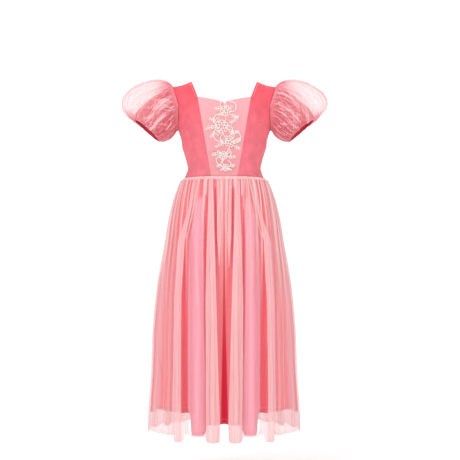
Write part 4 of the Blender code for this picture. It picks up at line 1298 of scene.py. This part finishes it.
# Where the front's folds lie, as seen from the front: down the skirt, the near and the far edge.
# Net bands are flat pleats of net folded on itself; lining bands are lobes and deep gaps
frontNetBands = [
    {"path": [(-250, 28, 38), (-410, 24, 43), (-558, 19, 47), (-805, 11, 47), (-907, 10, 46.5)],
     "density": 0.84, "proud": 2.6, "from": -246, "to": -930},
    {"path": [(-250, 13, 19), (-330, 11, 18.5), (-410, 8, 18), (-450, 8.5, 17), (-500, 9.5, 15)],
     "density": 0.78, "proud": 2.0, "from": -246, "to": -492},
    {"path": [(-250, 0, 9), (-290, 0, 8), (-330, 3, 6)],
     "density": 0.74, "proud": 1.4, "from": -246, "to": -322},
    {"path": [(-250, 72, 77), (-330, 82, 90), (-410, 99, 115), (-558, 107, 126), (-805, 108.5, 130),
              (-907, 108.5, 129)],
     "density": 0.80, "proud": 2.4, "from": -246, "to": -930},
    {"path": [(-250, 60, 64), (-330, 76, 80), (-410, 93, 97), (-445, 97, 99)], "density": 0.76, "proud": 1.6,
     "from": -246, "to": -440},
    {"path": [(-250, 46, 52), (-330, 46, 51), (-370, 46, 48)], "density": 0.70, "proud": 1.4,
     "from": -246, "to": -350},
]
frontLobes = [
    {"path": [(-290, 57, 60), (-325, 52, 74), (-410, 54, 92), (-558, 53, 94), (-805, 50.5, 92),
              (-900, 50.5, 92)],
     "pink": 1.0, "from": -296, "to": -930},
]
# In the gaps the crimson value is painted shade in the lining's deepest folds
frontGaps = [
    {"path": [(-330, 86, 90), (-410, 98, 104), (-558, 95.5, 107), (-805, 92.5, 108), (-860, 92, 109)],
     "crimsonShade": 0.30, "deep": 4.0, "from": -400, "to": -930},
    {"path": [(-300, 42, 50), (-410, 44, 53.5), (-558, 47, 53), (-700, 48, 50.5)],
     "crimsonShade": 0.20, "deep": 3.0, "from": -290, "to": -720},
    {"path": [(-300, 19, 26), (-410, 18, 24), (-500, 18, 21)], "crimsonShade": 0.30, "deep": 3.0,
     "from": -270, "to": -520},
]
# How far the front's hems lie down, at places across as seen from the front
frontNetHem = [
    (0, -897), (12, -898), (14, -900), (44.5, -900), (47.5, -897), (50, -889), (54, -888), (88, -888),
    (91, -886), (94, -884), (106, -884), (108, -898), (111, -902), (127, -902), (129.5, -898), (131, -887),
    (142, -890), (156, -888), (170, -890), (183, -887), (200, -890),
]
frontLiningHem = [
    (0, -859), (12, -860), (46, -861), (50, -874), (53, -883), (58, -886), (84, -886), (89, -883), (92, -874),
    (95, -838), (100, -834), (118, -834), (140, -833), (165, -832), (200, -832),
]
# Behind and at the sides the bands go by folds. Rows: middle and half width in folds at the waist
# and at the hem, where the band starts and ends down the skirt, then its own values
sideNetBands = [
    (6.60, 0.24, 6.60, 0.16, -0.1, 1.2, 0.50, 1.0),
    (7.45, 0.20, 7.45, 0.18, -0.1, 1.2, 0.55, 1.2),
    (8.30, 0.22, 8.30, 0.14, -0.1, 0.8, 0.48, 1.0),
    (9.25, 0.30, 9.30, 0.34, -0.1, 1.2, 0.50, 1.2),
    (10.6, 0.34, 10.6, 0.26, -0.1, 1.2, 0.50, 1.0),
]
backNetBands = [
    (0.80, 0.30, 0.70, 0.24, -0.1, 1.2, 0.52, 1.0),
    (2.00, 0.40, 2.00, 0.46, -0.1, 1.2, 0.72, 1.8),
    (3.05, 0.16, 3.00, 0.05, -0.1, 0.4, 0.60, 1.0),
    (4.00, 0.46, 4.05, 0.50, -0.1, 1.2, 0.80, 2.4),
    (5.10, 0.18, 5.00, 0.10, -0.1, 0.6, 0.60, 1.0),
    (6.00, 0.34, 6.00, 0.36, -0.1, 1.2, 0.70, 1.6),
    (8.00, 0.46, 7.95, 0.52, -0.1, 1.2, 0.80, 2.4),
    (9.00, 0.16, 9.00, 0.05, -0.1, 0.3, 0.60, 1.0),
    (10.0, 0.36, 10.0, 0.40, -0.1, 1.2, 0.74, 1.6),
]
backLobes = [
    (2.00, 0.20, 2.00, 0.44, 0.10, 1.2, 1.0),
    (5.00, 0.10, 5.05, 0.60, 0.08, 1.2, 1.0),
    (6.30, 0.10, 6.30, 0.40, 0.20, 1.2, 0.7),
    (9.20, 0.10, 9.20, 0.60, 0.10, 1.2, 1.0),
]
# In the back gaps the first own value is painted crimson shade, the second how deep the fold is
backGaps = [
    (1.20, 0.20, 1.20, 0.34, 0.06, 1.2, 0.10, 2.0),
    (3.00, 0.18, 3.00, 0.30, 0.10, 1.2, 0.30, 3.0),
    (7.00, 0.16, 7.00, 0.34, 0.08, 1.2, 0.40, 3.0),
    (11.0, 0.24, 11.0, 0.50, 0.10, 1.2, 0.80, 1.0),
]
sidePeach = [(6.35, 0.3, 6.3, 0.45, 0.2, 1.2, 0.5), (9.4, 0.5, 9.4, 0.8, 0.3, 1.2, 0.75)]


def foldValue(folds, column, place, sharp=1.0):
    # sharp 0 runs straight between the rows, 1 rounds the folds, more flattens their tops
    values = folds[:, foldColumns.index(column)]
    low = np.clip(place.astype(int), 0, len(folds) - 2)
    share = place - low
    if sharp:
        share = ease((share - 0.5) * sharp + 0.5)
    return mix(values[low], values[low + 1], share)


def plateau(place, middle, halfWidth, edge):  # one inside the band, with short sloping sides
    return ease((halfWidth + edge / 2 - np.abs(place - middle)) / edge)


def frontBand(seen, height, band, edge):
    # How far each point is inside a band that is given by its edges, and its rim
    downs = [-row[0] for row in band["path"]]
    near = np.interp(-height, downs, [row[1] for row in band["path"]])
    far = np.interp(-height, downs, [row[2] for row in band["path"]])
    starts = ease((band["from"] - height) / skirt["bandStart"])
    within = starts * ease((height - band["to"]) / skirt["bandEnd"])
    runsOut = band["to"] > skirt["netHem"]
    narrow = np.clip((height - band["to"]) / skirt["bandNarrows"], 0.0, 1.0) if runsOut else 1.0
    halfWidth = (far - near) / 2 * narrow
    middle = (near + far) / 2
    inside = plateau(seen, middle, np.maximum(halfWidth, 0.3), edge) * within
    rim = np.exp(-((np.abs(seen - middle) - halfWidth + 0.6) / 1.1) ** 2) * within
    # two soft creases run down inside each band and wander a little
    u = (seen - middle) / np.maximum(halfWidth, 3.0)
    crease = np.exp(-((u - 0.28 - 0.2 * np.sin(height / 75.0)) / 0.13) ** 2)
    crease += 0.7 * np.exp(-((u + 0.42 + 0.16 * np.sin(height / 110.0 + 1.0)) / 0.11) ** 2)
    return inside * (1 - skirt["bandCrease"] * crease), rim


def bandField(place, drop, table, edge):
    # For each column after the first six, the strongest band's value at each point, or zero
    fields = [np.zeros(place.shape) for _ in range(len(table[0]) - 6)]
    rims = np.zeros(place.shape)
    for row in table:
        middleTop, halfTop, middleHem, halfHem, start, end = row[:6]
        middle = mix(middleTop, middleHem, ease(drop))
        halfWidth = mix(halfTop, halfHem, drop)
        within = ease((drop - start) / 0.08) * ease((end - drop) / 0.10)
        flat = plateau(place, middle, halfWidth, edge) * within
        rim = np.exp(-((np.abs(place - middle) - halfWidth) / (edge * 0.5)) ** 2) * within
        rims = np.maximum(rims, rim)
        for number, value in enumerate(row[6:]):
            fields[number] = np.maximum(fields[number], value * flat)
    return fields, rims


def gatherTable(count, last, draw, longest):
    # Gathers from the waist seam, uneven in place, width, height and length
    step = last / count
    table = []
    for number in range(count):
        table.append((
            step * (number + 0.5 + draw.uniform(-0.3, 0.3)), step * draw.uniform(0.20, 0.34),
            draw.uniform(0.5, 1.0), -0.2, longest * draw.uniform(0.35, 1.0), draw.uniform(-0.3, 0.3),
        ))
    return table


def skirtBase(folds, place, height, net):
    # The skirt's ring at a height, how far it has spread, and the angle of a place among the folds
    width = readTable(skirtRings, "halfWidth", height)
    depth = readTable(skirtRings, "halfDepth", height)
    narrow, wide = skirtRings["halfWidth"][-1], skirtRings["halfWidth"][0]
    spread = (width - narrow) / (wide - narrow)
    angleDeg = mix(foldValue(folds, "waistDeg", place, 0), foldValue(folds, "hemDeg", place, 0), spread)
    if net and folds is frontFolds:  # the net is open at centre front
        drop = (skirt["top"] - height) / (skirt["top"] - skirt["netHem"])
        slit = mix(skirt["slitWaistDeg"], skirt["slitHemDeg"], np.clip(drop, 0.0, 1.0) ** skirt["slitPower"])
        angleDeg = angleDeg + slit * np.clip(1 - place, 0.0, 1.0)
    return width, depth, spread, angleDeg


def skirtPoint(width, depth, spread, angleDeg, out):
    angle = np.radians(angleDeg)
    squareness = mix(form["squareness"], 2.0, spread)
    x = (width + out) * rounded(np.sin(angle), squareness)
    return x, -(depth + out) * rounded(np.cos(angle), squareness)


def asSeen(x, y):  # how far across a point looks, from the photo's distance
    return np.abs(x) * view["distance"] / (view["distance"] + y * mm)


def hemHeights(folds, places, net):
    column = "netHem" if net else "liningHem"
    if folds is not frontFolds:
        return foldValue(folds, column, places, 1.8)
    nearHem = np.full(places.shape, -880.0)
    out = skirt["clearance"] if net else 0.0
    seen = asSeen(*skirtPoint(*skirtBase(folds, places, nearHem, net), out))
    table = np.array(frontNetHem if net else frontLiningHem, float)
    byView = np.interp(seen, table[:, 0], table[:, 1])
    # near the side seam the hem follows the folds, so that front and back meet
    return mix(byView, foldValue(folds, column, places), ease((places - 9.0) / 1.8))


def skirtGrid(folds, seed, net):
    # A quarter of one layer, from its fold table's first row to its last. Rows run up from the hem
    draw = random.Random(seed)
    last = len(folds) - 1
    perFold = skirt["netColumnsPerFold"] if net else skirt["liningColumnsPerFold"]
    shares = np.linspace(1.0, 0.0, skirt["netRows"] if net else skirt["liningRows"]) ** skirt["rowPower"]
    at = SimpleNamespace(folds=folds, front=folds is frontFolds, seed=seed)
    at.places = np.linspace(0.0, last, last * perFold + 1)
    at.place, at.share = np.meshgrid(at.places, shares)
    at.height = mix(skirt["top"], hemHeights(folds, at.places, net)[None, :], at.share)
    at.fromSeam = skirt["top"] - at.height
    at.drop = at.fromSeam / (skirt["top"] - skirt["netHem"])
    at.ring = skirtBase(folds, at.place, at.height, net)
    at.opened = ease(at.drop / skirt["foldsFullAt"])
    # neighbours meet plain at their seams
    at.atEnds = ease(at.place / skirt["plainEnd"]) * ease((last - at.place) / skirt["plainEnd"])
    # slow waver, so that no fold hangs dead straight
    bend = np.sin(5.0 * at.drop + at.place * 1.7 + seed) * at.drop * at.atEnds
    longest, longestFine = skirt["gatherLength"], skirt["fineLength"]
    at.gathers = ridges(at.place, at.drop, gatherTable(skirt["gathers"], last, draw, longest))
    at.gathers = np.minimum(at.gathers, 1.0)
    at.fine = ridges(at.place, at.drop, gatherTable(skirt["fineGathers"], last, draw, longestFine))
    at.foldOut = foldValue(folds, "netOut" if net else "liningOut", at.place) * at.opened
    at.seen = asSeen(*skirtPoint(*at.ring, at.foldOut)) + skirt["waverSeen"] * bend
    at.wavering = at.place + skirt["waverFolds"] * bend
    return at


def strongest(at, bands, value, edge):  # the strongest band's value at each point, or zero
    total = np.zeros(at.place.shape)
    for band in bands:
        total = np.maximum(total, band[value] * frontBand(at.seen, at.height, band, edge)[0])
    return total


def netBands(at):  # how densely the net lies in its pleats, how far they stand proud, and their rims
    rims = np.zeros(at.place.shape)
    for band in (frontNetBands if at.front else []):
        rims = np.maximum(rims, frontBand(at.seen, at.height, band, skirt["pleatEdge"])[1])
    table = sideNetBands if at.front else backNetBands
    (density, proud), rimsByFold = bandField(at.wavering, at.drop, table, skirt["foldPleatEdge"])
    if at.front:
        density = np.maximum(strongest(at, frontNetBands, "density", skirt["pleatEdge"]), density)
        proud = np.maximum(strongest(at, frontNetBands, "proud", skirt["pleatEdge"]), proud)
    return density, proud, np.maximum(rims, rimsByFold * 0.7)


def netQuarter(at):  # how far the net stands out, and its density and bunching
    density, proud, rims = netBands(at)
    ripple = 0.5 + 0.5 * np.sin(2 * np.pi * at.place * 2.3 + 3 * np.sin(at.place * 1.3 + at.seed))
    heading = np.exp(-((at.fromSeam - skirt["headingMiddle"]) / skirt["headingReach"]) ** 2)
    atSeam = skirt["wall"] + form["seamGap"]
    out = at.foldOut + mix(atSeam, skirt["clearance"], ease(at.fromSeam / skirt["clearWithin"]))
    relief = skirt["gatherOut"] * at.gathers * mix(1.0, 0.3, ease(at.drop / 0.6))
    out += (relief + skirt["fineOut"] * at.fine + proud * ease(at.drop / 0.04)) * at.atEnds
    out += skirt["rippleOut"] * ripple * at.drop * at.atEnds
    # the gathered net stands up below the seam
    frill = 0.9 * np.sin(2 * np.pi * at.place * 4.1 + 2 * np.sin(at.place * 2.2))
    out += (skirt["headingOut"] + frill) * heading * at.atEnds
    # plain net: crowded at the waist and the sides, thin over the lobes
    lobes = strongest(at, frontLobes if at.front else [], "pink", skirt["lobeEdge"])
    sides = ease((at.seen - skirt["sideFrom"] - 10 * at.opened) / skirt["sideBlend"]) if at.front else 1.0
    atSides = skirt["sideCrowding"] * (1 - ease(at.drop / 0.9)) + skirt["sideNet"]
    crowded = mix(skirt["waistCrowding"] * (1 - ease(at.drop / 0.5)), atSides, sides)
    thin = mix(skirt["thinNet"] + crowded, skirt["lobeNet"], lobes * ease((at.drop - 0.10) / 0.08))
    upper = 1 - ease((at.drop - 0.10) / 0.5)
    gathered = skirt["gatherCover"] * at.gathers + skirt["fineCover"] * at.fine
    cover = np.maximum(thin + gathered * upper, density)
    between = mix(1.0, 0.62 + 0.5 * at.gathers, upper)
    cover = np.where(density > 0.3, cover, cover * between) + skirt["rimCover"] * rims
    for gap in (frontGaps if at.front else []):  # the net dips into the gaps and hardly shows there
        inside = frontBand(at.seen, at.height, gap, skirt["gapEdge"])[0]
        cover = np.where(density < 0.3, cover * (1 - skirt["gapThins"] * inside), cover)
    cover = np.maximum(cover, skirt["headingCover"] * np.minimum(heading * 1.5, 1.0))
    # below the lining's hem the net hangs alone, and all of it shows
    liningHem = hemHeights(at.folds, at.places, False)[None, :]
    alone = ease((liningHem + 2.0 - at.height) / 5.0)
    cover = mix(cover, np.maximum(cover * 1.08, skirt["aloneNet"] + 0.08 * ripple), alone)
    fromHem = (1.0 - at.share) * skirt["netLength"]
    edgeLine = np.exp(-(fromHem / skirt["edgeLine"]) ** 2)  # the cut edge catches the light
    bunching = np.maximum(density, rims * 0.6) * 1.1
    return out, np.stack([np.clip(cover + 0.10 * edgeLine, 0.0, 0.97), np.clip(bunching, 0.0, 1.0)], axis=-1)


def liningQuarter(at):  # how far the lining stands out, and how much painted coral and crimson shade its folds get
    if at.front:
        pink = strongest(at, frontLobes, "pink", skirt["lobeEdge"])
        crimsonShade = strongest(at, frontGaps, "crimsonShade", skirt["gapEdge"])
        deep = strongest(at, frontGaps, "deep", skirt["gapEdge"])
        pink = np.maximum(pink, bandField(at.wavering, at.drop, sidePeach, 0.4)[0][0])
        # the painted red shade in the valley at centre front widens downwards, more to one side than to the
        # other
        widest = skirt["redShadeHalfWidths"][at.seed % 2]
        redShadeHalf = mix(1.0, widest, ease((-480 - at.height) / 300.0))
        redShade = plateau(at.seen, 0.0, redShadeHalf, skirt["gapEdge"]) * ease((-530 - at.height) / 220.0)
        crimsonShade = np.maximum(crimsonShade, redShade)
    else:
        (pink,), _ = bandField(at.wavering, at.drop, backLobes, 0.3)
        (crimsonShade, deep), _ = bandField(at.wavering, at.drop, backGaps, 0.22)
    relief = at.gathers * (1 - at.drop) + 0.4 * at.fine - deep * ease(at.drop / 0.08)
    return at.foldOut + relief * at.atEnds, np.stack([1 - pink, np.clip(crimsonShade, 0.0, 1.0)], axis=-1)


def skirtQuarter(folds, seed, net):
    at = skirtGrid(folds, seed, net)
    out, values = netQuarter(at) if net else liningQuarter(at)
    x, y = skirtPoint(*at.ring, out)
    y = y + (-form["seamGap"] / 2 if at.front else form["seamGap"] / 2)
    return np.stack([x, y, at.height], axis=-1), values


def joinQuarters(first, second):  # two quarters that share a column, as one cloth
    return np.concatenate([first, second[:, 1:]], axis=1)


def makeLiningPiece(name, node, folds, seed):
    left, leftTint = skirtQuarter(folds, seed, net=False)
    right, rightTint = skirtQuarter(folds, seed + 1, net=False)
    if folds is frontFolds:
        points = joinQuarters(mirrored(right), left)
        tint = joinQuarters(rightTint[:, ::-1], leftTint)
    else:
        points = joinQuarters(left, mirrored(right))
        tint = joinQuarters(leftTint, rightTint[:, ::-1])
    piece = addCloth(name, points, liningSatin, wall=skirt["liningWall"], folds=tint)
    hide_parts(node)
    return piece, points


def makeNetPiece(name, node, folds, seed, part):
    quarters = {}
    for side in ("left", "right"):
        points, values = skirtQuarter(folds, seed + (side == "right"), net=True)
        quarters[side] = (mirrored(points), values[:, ::-1]) if side == "right" else (points, values)
    if part == "whole":
        points = joinQuarters(quarters["left"][0], quarters["right"][0])
        values = joinQuarters(quarters["left"][1], quarters["right"][1])
    else:
        points, values = quarters[part]
    piece = addCloth(name, points, skirtNet, folds=values)
    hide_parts(node)
    return piece


def makeLiningHemStitches(name, points):
    # a row of stitches around the lining, just above its hem
    rise = walked(points, 0)
    row = [
        [np.interp(skirt["hemStitchUp"], rise[:, column], points[:, column, axis]) for axis in range(3)]
        for column in range(points.shape[1])
    ]
    normals = gridNormals(points)[2]
    lines = stitchLines(np.array(row) + normals * skirt["liningWall"], normals, hemStitch)
    piece = addTubes(name, lines, paleThread)
    return piece


liningFront, liningFrontPoints = makeLiningPiece("lining_front", "skirt_lining_front", frontFolds, 5)
liningBack, liningBackPoints = makeLiningPiece("lining_back", "skirt_lining_back", backFolds, 7)
makeLiningHemStitches("lining_hem_stitching_front", liningFrontPoints)
makeLiningHemStitches("lining_hem_stitching_back", liningBackPoints)
netLeft = makeNetPiece("net_skirt_front_left", "skirt_net_front_left", frontFolds, 31, "left")
netRight = makeNetPiece("net_skirt_front_right", "skirt_net_front_right", frontFolds, 31, "right")
netBack = makeNetPiece("net_skirt_back", "skirt_net_back", backFolds, 41, "whole")
print("Skirt made")

# Stage, in metres: a white sweep under and behind the dress, soft studio light, and the camera

stage = {
    "floor": -1.02, "halfWidth": 6.0, "front": -4.0, "back": 2.6, "curve": 1.2, "height": 4.0,
    "sweep": "#FFFFFF", "ambient": 0.60,
    # name, place, what it points at, width and height, watts
    "lights": [
        ("key_left", (-1.8, -2.4, 0.9), (0.0, 0.0, -0.45), (1.8, 1.8), 37.0),
        ("fill_right", (2.2, -2.2, 0.2), (0.0, 0.0, -0.45), (2.0, 2.4), 24.5),
        ("top", (0.0, -0.2, 2.2), (0.0, 0.0, -0.45), (2.4, 1.8), 18.0),
        ("backdrop", (0.0, 1.2, 1.8), (0.0, 3.2, -0.2), (3.6, 1.0), 36.0),
    ],
}


def makeSweep():
    profile = [(stage["front"], stage["floor"])]
    for turn in np.linspace(0.0, math.pi / 2, 13):
        profile.append((stage["back"] + stage["curve"] * math.sin(turn),
                        stage["floor"] + stage["curve"] * (1 - math.cos(turn))))
    profile.append((stage["back"] + stage["curve"], stage["height"]))
    verts = [(x, y, z) for y, z in profile for x in (-stage["halfWidth"], stage["halfWidth"])]
    faces = [(2 * i, 2 * i + 1, 2 * i + 3, 2 * i + 2) for i in range(len(profile) - 1)]
    mesh = bpy.data.meshes.new("studio_sweep")
    mesh.from_pydata(verts, [], faces)
    mesh.shade_smooth()
    # Matt painted paper: plain, pale and even
    material, tree, shader = newMaterial("whitePaperSweep")
    connect(tree, shader, Base_Color=toLinear(stage["sweep"]), Roughness=0.9, Specular_IOR_Level=0.1)
    mesh.materials.append(material)
    sweep = bpy.data.objects.new("studio_sweep", mesh)
    bpy.context.scene.collection.objects.link(sweep)


def addSoftLight(name, place, target, size, watts):
    lamp = bpy.data.lights.new(name, "AREA")
    lamp.shape = "RECTANGLE"
    lamp.size, lamp.size_y = size
    lamp.energy = watts
    light = bpy.data.objects.new(name, lamp)
    light.location = place
    light.rotation_euler = (Vector(target) - Vector(place)).to_track_quat("-Z", "Y").to_euler()
    bpy.context.scene.collection.objects.link(light)


def makeStage():
    makeSweep()
    world = bpy.data.worlds.new("studio")
    world.use_nodes = True
    background = world.node_tree.nodes["Background"]
    background.inputs["Color"].default_value = (1.0, 1.0, 1.0, 1.0)
    background.inputs["Strength"].default_value = stage["ambient"]
    bpy.context.scene.world = world
    for light in stage["lights"]:
        addSoftLight(*light)
    camera = bpy.data.cameras.new("camera")
    camera.lens = view["lens"]
    camera.sensor_width = 36.0
    camera.clip_end = 50.0
    holder = bpy.data.objects.new("camera", camera)
    holder.location = (0.0, -view["distance"], view["height"])
    holder.rotation_euler = (math.radians(90.0 + view["tiltDeg"]), 0.0, math.radians(view["panDeg"]))
    bpy.context.scene.collection.objects.link(holder)
    bpy.context.scene.camera = holder
    bpy.context.scene.view_settings.view_transform = "Standard"
    bpy.context.scene.cycles.transparent_max_bounces = 32  # many layers of net lie behind each other


makeStage()
print("Stage made")
